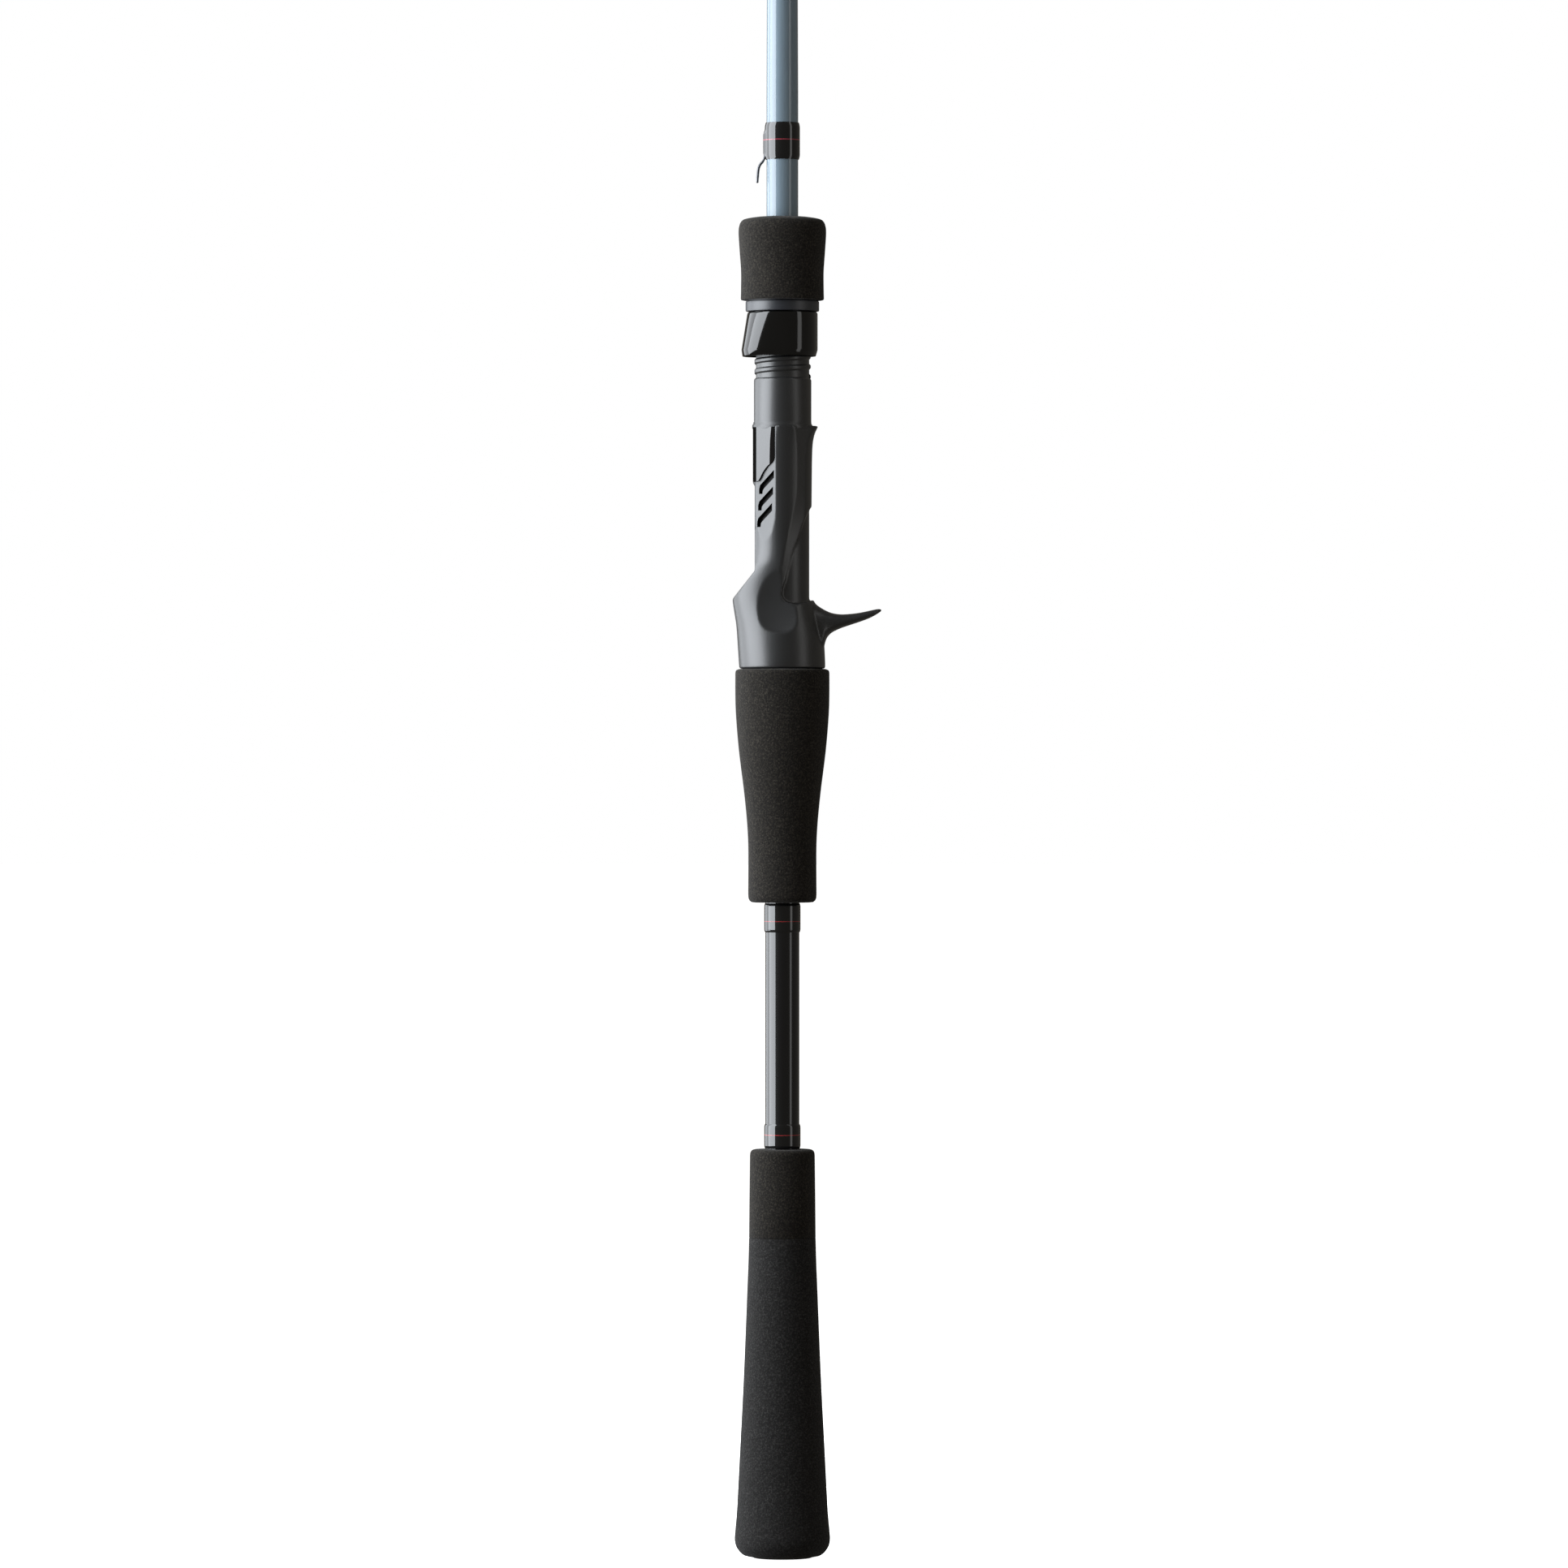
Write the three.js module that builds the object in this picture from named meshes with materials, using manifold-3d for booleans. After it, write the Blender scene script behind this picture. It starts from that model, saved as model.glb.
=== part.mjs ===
// Casting rod with a trigger reel seat, foam grips and line guides.
// Millimetres. +Z runs from the butt to the tip, +X is the trigger side, and the reel and guides sit on -X.
import * as THREE from "three";
import { mergeVertices } from "three/addons/utils/BufferGeometryUtils.js";
import Module from "manifold-3d";

const wasm = await Module();
wasm.setup();

// ---- Driving dimensions ----
const ROD_LENGTH = 1830;
const BLANK_RADIUS = 5.85;
const BLANK_TIP_RADIUS = 0.95;
const BLANK_WALL = 1.25;
const TUBE_RADIUS = 6.3;
const TUBE_WALL = 1.7;
const ARBOR_WALL = 1.1;
const BARREL_WALL = 2.7;
const THREAD_PITCH = 3.7;
const THREAD_HEIGHT = 0.55;
const THREAD_ROOT_WIDTH = 1.3;
const THREAD_CREST_WIDTH = 1.2;
const BUTT_GRIP_RADIUS = 17.7;
const REAR_GRIP_RADIUS = 17.4;
const FOREGRIP_RADIUS = 16.2;
const HOOD_WALL = 0.8;
const LINER_WALL = 0.95;
const SEAT_INSERT_THICKNESS = 0.9;
const RING_WALL = 1.0;
const HOLDER_WALL = 0.75;
const GUIDE_WIRE_RADIUS = 0.65;
const KEEPER_WIRE_RADIUS = 0.4;

// ---- Clearances ----
const GAP = 0.3;
const SKIN_GAP = 0.15;
const THREAD_CLEARANCE = 0.3;
const KEY_CLEARANCE = 0.3;

// ---- Stations along the rod ----
const BUTT_GRIP_TOP = 118.05;
const COLLAR_TOP = 150.9;
const LOWER_TRIM_TOP = 160.2;
const UPPER_TRIM_BOTTOM = 231.1;
const REAR_GRIP_BOTTOM = 242.1;
const REAR_GRIP_TOP = 328.2;
const SEAT_BOTTOM = REAR_GRIP_TOP + GAP;
const JOINT_STATION = 370;
const SHOULDER = 418.2;
const THREAD_START = 435.6;
const HOOD_BOTTOM = 444;
const HOOD_LENGTH = 16.2;
const NUT_FLANGE_LENGTH = 3.9;
const NUT_SLEEVE_LENGTH = 15;
const FOREGRIP_LENGTH = 30.9;
const FOREGRIP_CROWN = 3;
const HOOD_TRAVEL = 24;
const KEEPER_WRAP_BOTTOM = 516.7;
const KEEPER_WRAP_LENGTH = 13.6;
const TAPER_START = 540;

// ---- Derived stations and radii ----
const SEAT_BORE_RADIUS = Math.max(TUBE_RADIUS, BLANK_RADIUS) + ARBOR_WALL + 2 * GAP;
const BARREL_RADIUS = SEAT_BORE_RADIUS + BARREL_WALL;
const HOOD_RADIUS = BARREL_RADIUS + LINER_WALL + HOOD_WALL + 2 * GAP;
const THREAD_CREST = BARREL_RADIUS - 0.2;
const THREAD_ROOT = THREAD_CREST - THREAD_HEIGHT;
const HOOD_TOP = HOOD_BOTTOM + HOOD_LENGTH;
const NUT_BOTTOM = HOOD_TOP + GAP;
const FLANGE_TOP = NUT_BOTTOM + NUT_FLANGE_LENGTH;
const NUT_TOP = FLANGE_TOP + NUT_SLEEVE_LENGTH;
const FOREGRIP_BOTTOM = FLANGE_TOP + GAP;
const FOREGRIP_TOP = FOREGRIP_BOTTOM + FOREGRIP_LENGTH;
const FOREGRIP_CEILING = FOREGRIP_TOP - FOREGRIP_CROWN;
const BARREL_TOP = FOREGRIP_CEILING - HOOD_TRAVEL - 1;
const NUT_BORE = THREAD_CREST + THREAD_CLEARANCE;
const SLEEVE_RADIUS = NUT_BORE + 1.8;
const BLANK_END = ROD_LENGTH - 12;
const SEGMENTS = 32;

// Outer radius of the blank at a height.
function blankRadius(z) {
  const t = THREE.MathUtils.clamp((z - TAPER_START) / (BLANK_END - TAPER_START), 0, 1);
  return BLANK_RADIUS + (BLANK_TIP_RADIUS - BLANK_RADIUS) * t;
}

// ---- Solid helpers ----
function solid(geometry) {
  const bare = geometry.index ? geometry.toNonIndexed() : geometry.clone();
  bare.deleteAttribute("normal");
  bare.deleteAttribute("uv");
  const merged = mergeVertices(bare, 1e-4);
  const index = merged.index.array;
  const kept = [];
  for (let i = 0; i < index.length; i += 3) {
    const [a, b, c] = [index[i], index[i + 1], index[i + 2]];
    if (a !== b && b !== c && c !== a) kept.push(a, b, c);
  }
  const vertProperties = new Float32Array(merged.attributes.position.array);
  const build = (tris) =>
    new wasm.Manifold(new wasm.Mesh({ numProp: 3, vertProperties, triVerts: new Uint32Array(tris) }));
  const made = build(kept);
  if (made.volume() > 0) return made;
  const turned = [];
  for (let i = 0; i < kept.length; i += 3) turned.push(kept[i], kept[i + 2], kept[i + 1]);
  return build(turned);
}

function geometryOf(body) {
  const mesh = body.getMesh();
  const count = mesh.numProp;
  const positions = new Float32Array(mesh.numVert * 3);
  for (let i = 0; i < mesh.numVert; i++) {
    positions.set(mesh.vertProperties.subarray(i * count, i * count + 3), i * 3);
  }
  const indexed = new THREE.BufferGeometry()
    .setAttribute("position", new THREE.BufferAttribute(positions, 3))
    .setIndex(new THREE.BufferAttribute(mesh.triVerts, 1));
  const flat = indexed.toNonIndexed();
  flat.computeVertexNormals();
  return flat;
}

const join = (...bodies) => bodies.reduce((a, b) => a.add(b));
const cut = (body, ...tools) => tools.reduce((a, b) => a.subtract(b), body);

// Body of revolution about Z from [radius, z] pairs that start and end on the axis or close on themselves.
function revolve(profile, segments = SEGMENTS) {
  const points = profile.map(([r, z]) => new THREE.Vector2(r, z));
  return new THREE.LatheGeometry(points, segments).rotateX(Math.PI / 2);
}

// Tube of revolution between an outer [radius, z] line and an inner one, both from bottom to top.
function sleeve(outer, inner, segments = SEGMENTS) {
  return revolve([...outer, ...[...inner].reverse(), outer[0]], segments);
}

function rod(radius, z0, z1, segments = SEGMENTS) {
  return solid(revolve([[0, z0], [radius, z0], [radius, z1], [0, z1]], segments));
}

function block(x0, x1, y0, y1, z0, z1) {
  const box = new THREE.BoxGeometry(x1 - x0, y1 - y0, z1 - z0);
  return solid(box.translate((x0 + x1) / 2, (y0 + y1) / 2, (z0 + z1) / 2));
}

// Closed skin through rings of points of equal count.
function loft(rings) {
  const count = rings[0].length;
  const middle = (ring) =>
    ring.reduce((sum, p) => sum.add(p), new THREE.Vector3()).divideScalar(ring.length);
  const points = [...rings.flat(), middle(rings[0]), middle(rings[rings.length - 1])];
  const low = points.length - 2;
  const high = points.length - 1;
  const last = (rings.length - 1) * count;
  const index = [];
  for (let i = 0; i < count; i++) {
    const j = (i + 1) % count;
    for (let k = 0; k < rings.length - 1; k++) {
      const a = k * count + i;
      const b = k * count + j;
      index.push(a, b, b + count, a, b + count, a + count);
    }
    index.push(low, j, i, high, last + i, last + j);
  }
  const geometry = new THREE.BufferGeometry().setFromPoints(points);
  return solid(geometry.setIndex(index));
}

// Level section with its own reach to -X, to +X and to each side. A power over 2 squares its -X half.
function section(z, left, right, half, count = SEGMENTS, power = 2) {
  const ring = [];
  for (let i = 0; i < count; i++) {
    const a = (2 * Math.PI * (i + 0.5)) / count;
    const bend = Math.cos(a) > 0 ? 1 : 2 / power;
    const c = Math.abs(Math.cos(a)) ** bend;
    const s = Math.abs(Math.sin(a)) ** bend;
    const x = Math.cos(a) > 0 ? right * c : -left * c;
    ring.push(new THREE.Vector3(x, Math.sign(Math.sin(a)) * half * s, z));
  }
  return ring;
}

// Prism across Y over an [x, z] outline.
function prism(outline, y0, y1) {
  const shape = new THREE.Shape(outline.map(([x, z]) => new THREE.Vector2(x, z)));
  const body = new THREE.ExtrudeGeometry(shape, { depth: y1 - y0, bevelEnabled: false });
  return solid(body.rotateX(Math.PI / 2).translate(0, y1, 0));
}

// Column up Z over an [x, y] outline.
function column(outline, z0, z1) {
  const shape = new THREE.Shape(outline.map(([x, y]) => new THREE.Vector2(x, y)));
  const body = new THREE.ExtrudeGeometry(shape, { depth: z1 - z0, bevelEnabled: false });
  return solid(body.translate(0, 0, z0));
}

// Round wire along a list of points.
function wire(points, radius, steps, sides = 8, straight = false) {
  const path = straight
    ? new THREE.LineCurve3(points[0], points[1])
    : new THREE.CatmullRomCurve3(points, false, "centripetal");
  const circle = [];
  for (let i = 0; i < sides; i++) {
    const a = (2 * Math.PI * i) / sides;
    circle.push(new THREE.Vector2(radius * Math.cos(a), radius * Math.sin(a)));
  }
  const options = { steps, extrudePath: path, bevelEnabled: false };
  return solid(new THREE.ExtrudeGeometry(new THREE.Shape(circle), options));
}

// Helical ridge of a nut: a trapezoid from radius a (width wa along Z) to radius b (width wb), z0 to z1.
function helix(a, wa, b, wb, z0, z1, shift, perTurn = 18) {
  const width = Math.max(wa, wb);
  const start = z0 + width / 2;
  const turns = (z1 - z0 - width) / THREAD_PITCH;
  const steps = Math.round(turns * perTurn);
  const rings = [];
  for (let i = 0; i <= steps; i++) {
    const z = start + ((z1 - z0 - width) * i) / steps;
    const angle = (2 * Math.PI * (z - shift)) / THREAD_PITCH;
    const point = (r, dz) => new THREE.Vector3(r * Math.cos(angle), r * Math.sin(angle), z + dz);
    rings.push([point(a, -wa / 2), point(b, -wb / 2), point(b, wb / 2), point(a, wa / 2)]);
  }
  return loft(rings);
}

// Solid screw: root cylinder with a trapezoid ridge of the given root and crest widths, z0 to z1.
function screw(root, crest, rootWidth, crestWidth, z0, z1, perTurn = 20) {
  const flank = (THREAD_PITCH - rootWidth - crestWidth) / 2;
  const offsets = [0, flank, flank + crestWidth, flank * 2 + crestWidth];
  const radii = [root, crest, crest, root];
  const rows = (Math.ceil((z1 - z0) / THREAD_PITCH) + 1) * 4;
  const points = [];
  for (let j = 0; j <= rows; j++) {
    for (let i = 0; i < perTurn; i++) {
      const angle = (2 * Math.PI * i) / perTurn;
      const turn = Math.floor(j / 4) - 1;
      const free = z0 + THREAD_PITCH * (turn + i / perTurn) + offsets[j % 4];
      const z = THREE.MathUtils.clamp(free, z0, z1);
      const r = free === z ? radii[j % 4] : root;
      points.push(new THREE.Vector3(r * Math.cos(angle), r * Math.sin(angle), z));
    }
  }
  const low = points.push(new THREE.Vector3(0, 0, z0)) - 1;
  const high = points.push(new THREE.Vector3(0, 0, z1)) - 1;
  const index = [];
  const at = (i, j) => (i < perTurn ? j * perTurn + i : (j + 4) * perTurn);
  for (let i = 0; i < perTurn; i++) {
    const last = i === perTurn - 1 ? rows - 4 : rows;
    for (let j = 0; j < last; j++) {
      index.push(at(i, j), at(i + 1, j), at(i + 1, j + 1), at(i, j), at(i + 1, j + 1), at(i, j + 1));
    }
    index.push(low, i + 1 < perTurn ? i + 1 : 0, i);
    index.push(high, rows * perTurn + i, rows * perTurn + ((i + 1) % perTurn));
  }
  return solid(new THREE.BufferGeometry().setFromPoints(points).setIndex(index));
}

const group = new THREE.Group();

function add(name, body, color, roughness, metalness) {
  const geometry = body.isBufferGeometry ? body : geometryOf(body);
  const material = new THREE.MeshStandardMaterial({ color, roughness, metalness });
  const mesh = new THREE.Mesh(geometry, material);
  mesh.name = name;
  group.add(mesh);
}

// ---- Blank, handle tube and the spigot that joins them inside the seat ----
const blankStations = [JOINT_STATION + SKIN_GAP, TAPER_START];
for (let i = 1; i <= 10; i++) {
  blankStations.push(TAPER_START + ((BLANK_END - TAPER_START) * i) / 10);
}
const blankBoreEnd = TAPER_START + (BLANK_END - TAPER_START) * 0.7;
const blankOutside = blankStations.map((z) => [blankRadius(z), z]);
const blankInside = blankStations
  .filter((z) => z < blankBoreEnd + 1)
  .map((z) => [blankRadius(z) - BLANK_WALL, z]);
add(
  "blank",
  solid(revolve([
    ...blankOutside,
    [0, BLANK_END],
    [0, blankBoreEnd],
    ...blankInside.reverse(),
    blankOutside[0],
  ], 24)),
  0x7b919e, 0.2, 0.1,
);
const capDepth = 3;
add(
  "handle_tube",
  solid(sleeve(
    [[TUBE_RADIUS, capDepth + GAP], [TUBE_RADIUS, JOINT_STATION - SKIN_GAP]],
    [[TUBE_RADIUS - TUBE_WALL, capDepth + GAP], [TUBE_RADIUS - TUBE_WALL, JOINT_STATION - SKIN_GAP]],
    24,
  )),
  0x121213, 0.12, 0,
);
const spigotReach = 40;
const spigot = join(
  rod(TUBE_RADIUS - TUBE_WALL - GAP, JOINT_STATION - spigotReach, JOINT_STATION, 20),
  rod(BLANK_RADIUS - BLANK_WALL - GAP, JOINT_STATION, JOINT_STATION + spigotReach, 20),
);
add("spigot", spigot, 0x2b2b2d, 0.5, 0);

// ---- Butt end: plug, flared foam grip and its collar ----
const capRadius = BUTT_GRIP_RADIUS * 0.65;
add(
  "butt_cap",
  solid(revolve([
    [0, 0],
    [capRadius - 0.5, 0],
    [capRadius, 0.5],
    [capRadius, capDepth],
    [TUBE_RADIUS - TUBE_WALL - GAP, capDepth],
    [TUBE_RADIUS - TUBE_WALL - GAP, capDepth + 16],
    [0, capDepth + 16],
  ])),
  0x1a1a1b, 0.6, 0,
);
const gripBore = TUBE_RADIUS + GAP;
const buttScale = BUTT_GRIP_RADIUS / 17.7;
const buttProfile = [
  [13.4, 0.5], [14.9, 1.3], [16.2, 2.6], [17.2, 4.3], [17.7, 6.6], [17.4, 10.5], [16.8, 17.7],
  [16.05, 32], [15.3, 46.5], [14.55, 61], [13.95, 75], [13.5, 82.5], [13.05, 97], [12.6, 108],
  [12.3, BUTT_GRIP_TOP],
].map(([r, z]) => [r * buttScale, z]);
add(
  "butt_grip",
  solid(sleeve(buttProfile, [
    [capRadius + GAP, 0.5],
    [capRadius + GAP, capDepth + GAP],
    [gripBore, capDepth + GAP],
    [gripBore, BUTT_GRIP_TOP],
  ])),
  0x2a2a2c, 0.95, 0,
);
const collarRadius = 12.3 * buttScale;
const collarBottom = BUTT_GRIP_TOP + GAP;
add(
  "butt_collar",
  solid(sleeve(
    [
      [collarRadius, collarBottom],
      [collarRadius - 0.3, COLLAR_TOP - 1.5],
      [collarRadius - 0.7, COLLAR_TOP - 0.5],
      [collarRadius - 1.6, COLLAR_TOP],
    ],
    [[gripBore, collarBottom], [gripBore, COLLAR_TOP]],
  )),
  0x26251f, 0.95, 0,
);

// ---- Trim wraps on the handle tube ----
function trimWrap(name, z0, z1) {
  const inner = TUBE_RADIUS + SKIN_GAP;
  add(
    name,
    solid(sleeve(
      [[inner + 0.2, z0], [inner + 0.38, z0 + 1.5], [inner + 0.38, z1 - 1.5], [inner + 0.2, z1]],
      [[inner, z0], [inner, z1]],
      24,
    )),
    0x0d0d0e, 0.08, 0,
  );
}
trimWrap("lower_trim_wrap", COLLAR_TOP + GAP, LOWER_TRIM_TOP);
trimWrap("upper_trim_wrap", UPPER_TRIM_BOTTOM, REAR_GRIP_BOTTOM - GAP);

// ---- Rear foam grip, flared up to the reel seat ----
const rearScale = REAR_GRIP_RADIUS / 17.4;
const rearProfile = [
  [11.2, 242.1], [12.3, 242.9], [12.65, 245], [12.6, 260], [12.9, 269.7], [13.5, 276.9], [14.25, 284.1],
  [15.15, 291.3], [16.05, 298.5], [16.65, 305.7], [17.25, 312.9], [17.4, 320], [17.4, 326.8],
  [17.1, 327.7], [16.3, REAR_GRIP_TOP],
].map(([r, z]) => [r * rearScale, z]);
add(
  "rear_grip",
  solid(sleeve(rearProfile, [[gripBore, REAR_GRIP_BOTTOM], [gripBore, REAR_GRIP_TOP]])),
  0x2e2c26, 0.95, 0,
);

// ---- Arbors that centre the tube and the blank in the seat's bore ----
function arbor(name, z0, z1, core) {
  const outer = SEAT_BORE_RADIUS - GAP;
  const inner = core + GAP;
  add(
    name,
    solid(sleeve([[outer, z0], [outer, z1]], [[inner, z0], [inner, z1]], 24)),
    0x8c8676, 0.9, 0,
  );
}
arbor("arbor_rear", SEAT_BOTTOM + 3, SEAT_BOTTOM + 19, TUBE_RADIUS);
arbor("arbor_middle", JOINT_STATION + 8, JOINT_STATION + 24, BLANK_RADIUS);
arbor("arbor_front", BARREL_TOP - 18, BARREL_TOP - 1, BLANK_RADIUS);

// ---- Reel seat ----
const SHELL_RADIUS = BARREL_RADIUS + 0.5;
const BED = BARREL_RADIUS - 0.5;
const INSERT_BED = BARREL_RADIUS + 0.2;
const FACET = BARREL_RADIUS - 0.45;
const FACET_NORMAL = new THREE.Vector2(-0.6, -0.8);
const grow = SHELL_RADIUS - 11.2;
const seatRings = [
  [328.5, 16, 15.9, 16], [333, 16.3, 15.7, 15.9], [338.5, 16.6, 15.5, 15.4],
  [344.6, 17, 14.5, 14.4], [349.5, 17.8, 13.1, 13.4], [354.2, 18.5, 11.4, 12.5],
  [358, 18.2, 10.9, 11.9], [362, 17, 10.85, 11.55], [366, 14.5, 10.8, 11.3], [371, 11.2, 10.8, 11.2],
  [412.5, 11.2, 10.9, 11.2], [415.5, 11.2, 11.6, 11.2],
  [417.5, 11.2, 12.6, 11.5], [SHOULDER, 11.2, 12.5, 11.5],
].map(([z, left, right, half]) => section(z, left + grow, right + grow, half + grow, 36));
seatRings[0].forEach((p) => (p.z = SEAT_BOTTOM));

// Trigger: level blade that hooks out to +X, from [x, bottom, top, half width] stations.
const triggerRings = [
  [7, 334.5, 355.5, 6.6], [11.7, 333.6, 353.1, 7.2], [13.1, 334, 351.8, 7.1], [14.5, 334.8, 350.9, 6.9],
  [15.9, 338.4, 350.1, 6.5], [17.4, 341.1, 349.4, 6.1], [20.5, 343, 348.7, 5.5], [25.5, 344.8, 348.8, 4.9],
  [31.5, 346.9, 349.8, 4.4], [35.6, 349.1, 350.6, 3.2], [36.8, 349.8, 350.4, 2],
].map(([x, low, high, half]) => {
  const ring = [];
  for (let i = 0; i < 16; i++) {
    const a = (2 * Math.PI * (i + 0.5)) / 16;
    const y = half * Math.sign(Math.cos(a)) * Math.abs(Math.cos(a)) ** 0.8;
    const z = (low + high) / 2 + ((high - low) / 2) * Math.sign(Math.sin(a)) * Math.abs(Math.sin(a)) ** 0.8;
    ring.push(new THREE.Vector3(x + grow, y, z));
  }
  return ring;
});

// Space outside the side facets at a distance from the axis, on one side (-1) or the other (+1).
function outsideFacet(side, depth, z0, z1) {
  const across = new THREE.Vector2(-FACET_NORMAL.y, FACET_NORMAL.x);
  const fade = [[360, 6], [364, 3.9], [370, 2], [375, 0.95], [379, 0.45], [384, 0.1], [388, 0]];
  const spread = z0 < 388 ? [...fade, [z1, 0]] : [[z0, 0], [z1, 0]];
  return loft(spread.map(([z, extra]) => {
    const near = FACET - depth + extra;
    const corners = [[near, -16], [near, 16], [near + 20, 16], [near + 20, -16]];
    return corners.map(([d, t]) => {
      const p = FACET_NORMAL.clone().multiplyScalar(d).addScaledVector(across, t);
      return new THREE.Vector3(p.x, p.y * -side, z);
    });
  }));
}

const bedOutline = [
  [-18.7, 353.9], [-BED, 364.6], [-BED, 396.3], [-INSERT_BED, 397], [-INSERT_BED, SHOULDER + 0.3],
  [-40, SHOULDER + 0.3], [-40, 353.9],
];
// Pocket in the fixed hood for the front of the reel foot, arched over the bed.
const POCKET_HALF = 6.9;
const pocketRings = [[344, 15.8], [354.2, 16.8], [370, 17.2]].map(([z, reach]) => {
  const ring = [];
  for (let i = 0; i <= 12; i++) {
    const a = (Math.PI * i) / 12;
    const depth = (reach + grow - BED - 0.1) * Math.sin(a) ** 0.8;
    const y = POCKET_HALF * Math.sign(Math.cos(a)) * Math.abs(Math.cos(a)) ** 0.8;
    ring.push(new THREE.Vector3(-(BED + 0.1 + depth), y, z));
  }
  return ring;
});
const windowOutline = [
  [10.4, 388], [8, 383], [5.9, 376.6], [3.7, 372], [2.7, 368], [1.6, 363], [-0.3, 356.6], [0.6, 353.6],
  [2.7, 352.5], [5.9, 352.2], [9.2, 353], [10.7, 353.6], [20, 353.6], [20, 388],
];
const WINDOW_FLOOR = BARREL_RADIUS - 0.75;
const windowTool = cut(prism(windowOutline, -20, 20), rod(WINDOW_FLOOR, 340, 400));
// Shallow thumb hollows in both flanks of the fixed hood.
function hollow(side) {
  const ball = new THREE.SphereGeometry(1, 20, 14);
  ball.scale(25, 4.7, 17).translate(0.5, side * (15.7 + grow), 358.2).rotateZ(side * 0.07);
  return solid(ball);
}

// Three slanted vents on each facet.
const VENT_SPACING = 6.1;
const ventOutline = [
  [-3.5, 402.2], [-3.5, 400.3], [-7.7, 394.9], [-8, 392.8], [-8.9, 392.8], [-8.7, 396],
];
function vents(side) {
  const tools = [0, 1, 2].map((i) => {
    const outline = ventOutline.map(([x, z]) => [x - 0.35 * i, z - VENT_SPACING * i]);
    return prism(outline, side < 0 ? -20 : 2, side < 0 ? -2 : 20);
  });
  return join(...tools).intersect(outsideFacet(side, 0.8, 371, SHOULDER));
}

// The gloss insert wraps the bed and both facets above the vents.
function insertOutline(extra) {
  return [
    [-2.9 + extra, SHOULDER - 0.6 + extra], [-2.9 + extra, 405.4], [-5.5, 403.4 - extra],
    [-7.3 + extra * 0.5, 400.9 - extra], [-8.8 + extra * 0.5, 397.6 - extra], [-20, 397.6 - extra],
    [-20, SHOULDER - 0.6 + extra],
  ];
}
function insertZone(extra, depth) {
  const upright = (outline) => column(outline, SHOULDER - 28, SHOULDER + 1);
  const crown = (r) => [0.227, 0.288, 0.358, 0.433].map((t) => [-r * Math.sin(t), r * Math.cos(t)]);
  const rail = SHELL_RADIUS - 4.55;
  const railTop = rail + extra;
  const wing = [
    ...crown(SHELL_RADIUS + extra),
    [-(SHELL_RADIUS - 1.7), railTop + 0.1], [-(INSERT_BED + extra), railTop - 0.1],
    [-(INSERT_BED - depth), rail - extra - 1.45],
    [-(INSERT_BED - 1.6 - depth * 0.6), rail - extra - 1.05],
    ...crown(SHELL_RADIUS - depth).reverse(),
  ];
  const plate = [
    [-(INSERT_BED + extra), -railTop + 0.1], [-(INSERT_BED + extra), railTop - 0.1],
    [-(INSERT_BED - depth), railTop - 1.05], [-(INSERT_BED - depth), -railTop + 1.05],
  ];
  const mirrored = wing.map(([x, y]) => [x, -y]);
  const skin = join(upright(wing), upright(mirrored), upright(plate));
  return skin.intersect(prism(insertOutline(extra), -20, 20));
}

let seatOutside = join(loft(seatRings), loft(triggerRings));
seatOutside = cut(
  seatOutside,
  prism(bedOutline, -20, 20),
  outsideFacet(-1, 0, 360, SHOULDER + 1),
  outsideFacet(1, 0, 360, SHOULDER + 1),
);
const insert = insertZone(0, SEAT_INSERT_THICKNESS);
const screwStart = THREAD_START - 0.1;
const barrelStart = SHOULDER - 0.2;
const keyDepth = 1.2;
const keyHalf = 2;
let seat = cut(
  join(
    cut(
      seatOutside,
      windowTool,
      hollow(-1),
      hollow(1),
      vents(-1),
      vents(1),
      insertZone(0.25, SEAT_INSERT_THICKNESS + GAP),
      loft(pocketRings),
    ),
    rod(BARREL_RADIUS, barrelStart, THREAD_START),
    screw(THREAD_ROOT, THREAD_CREST, THREAD_ROOT_WIDTH, THREAD_CREST_WIDTH, screwStart, BARREL_TOP),
  ),
  rod(SEAT_BORE_RADIUS, SEAT_BOTTOM - 1, BARREL_TOP + 1),
  block(-20, -(THREAD_ROOT - keyDepth + THREAD_HEIGHT), -keyHalf, keyHalf, SHOULDER + 1.2, BARREL_TOP + 1),
);
add("seat_body", seat, 0x3a3b3c, 0.38, 0.25);
add("seat_insert", insert, 0x0b0b0c, 0.06, 0);

// ---- Moving hood and its liner ----
function hoodRing(z, off) {
  const t = (z - HOOD_BOTTOM - 2) / (HOOD_LENGTH - 2);
  const left = HOOD_RADIUS + 2.1 - 2.25 * t;
  const half = HOOD_RADIUS + 0.15 - 0.15 * t;
  const power = 2.9 - 0.9 * Math.min(1, Math.max(0, t));
  return section(z, left - off, HOOD_RADIUS - off, half - off, 32, power);
}
const hoodSkin = loft([
  hoodRing(HOOD_BOTTOM, 0.45),
  hoodRing(HOOD_BOTTOM + 0.9, 0.1),
  hoodRing(HOOD_BOTTOM + 2.3, 0),
  hoodRing(HOOD_TOP - 0.6, 0),
  hoodRing(HOOD_TOP, 0.35),
]);
const hoodHole = loft([hoodRing(HOOD_BOTTOM - 1, HOOD_WALL), hoodRing(HOOD_TOP + 1, HOOD_WALL)]);
add("moving_hood", cut(hoodSkin, hoodHole), 0x101011, 0.1, 0.4);
const linerBore = BARREL_RADIUS + GAP;
const linerBottom = HOOD_BOTTOM + 0.6;
const linerTop = HOOD_TOP - 0.3;
const footPocketTop = HOOD_BOTTOM + 10;
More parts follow.
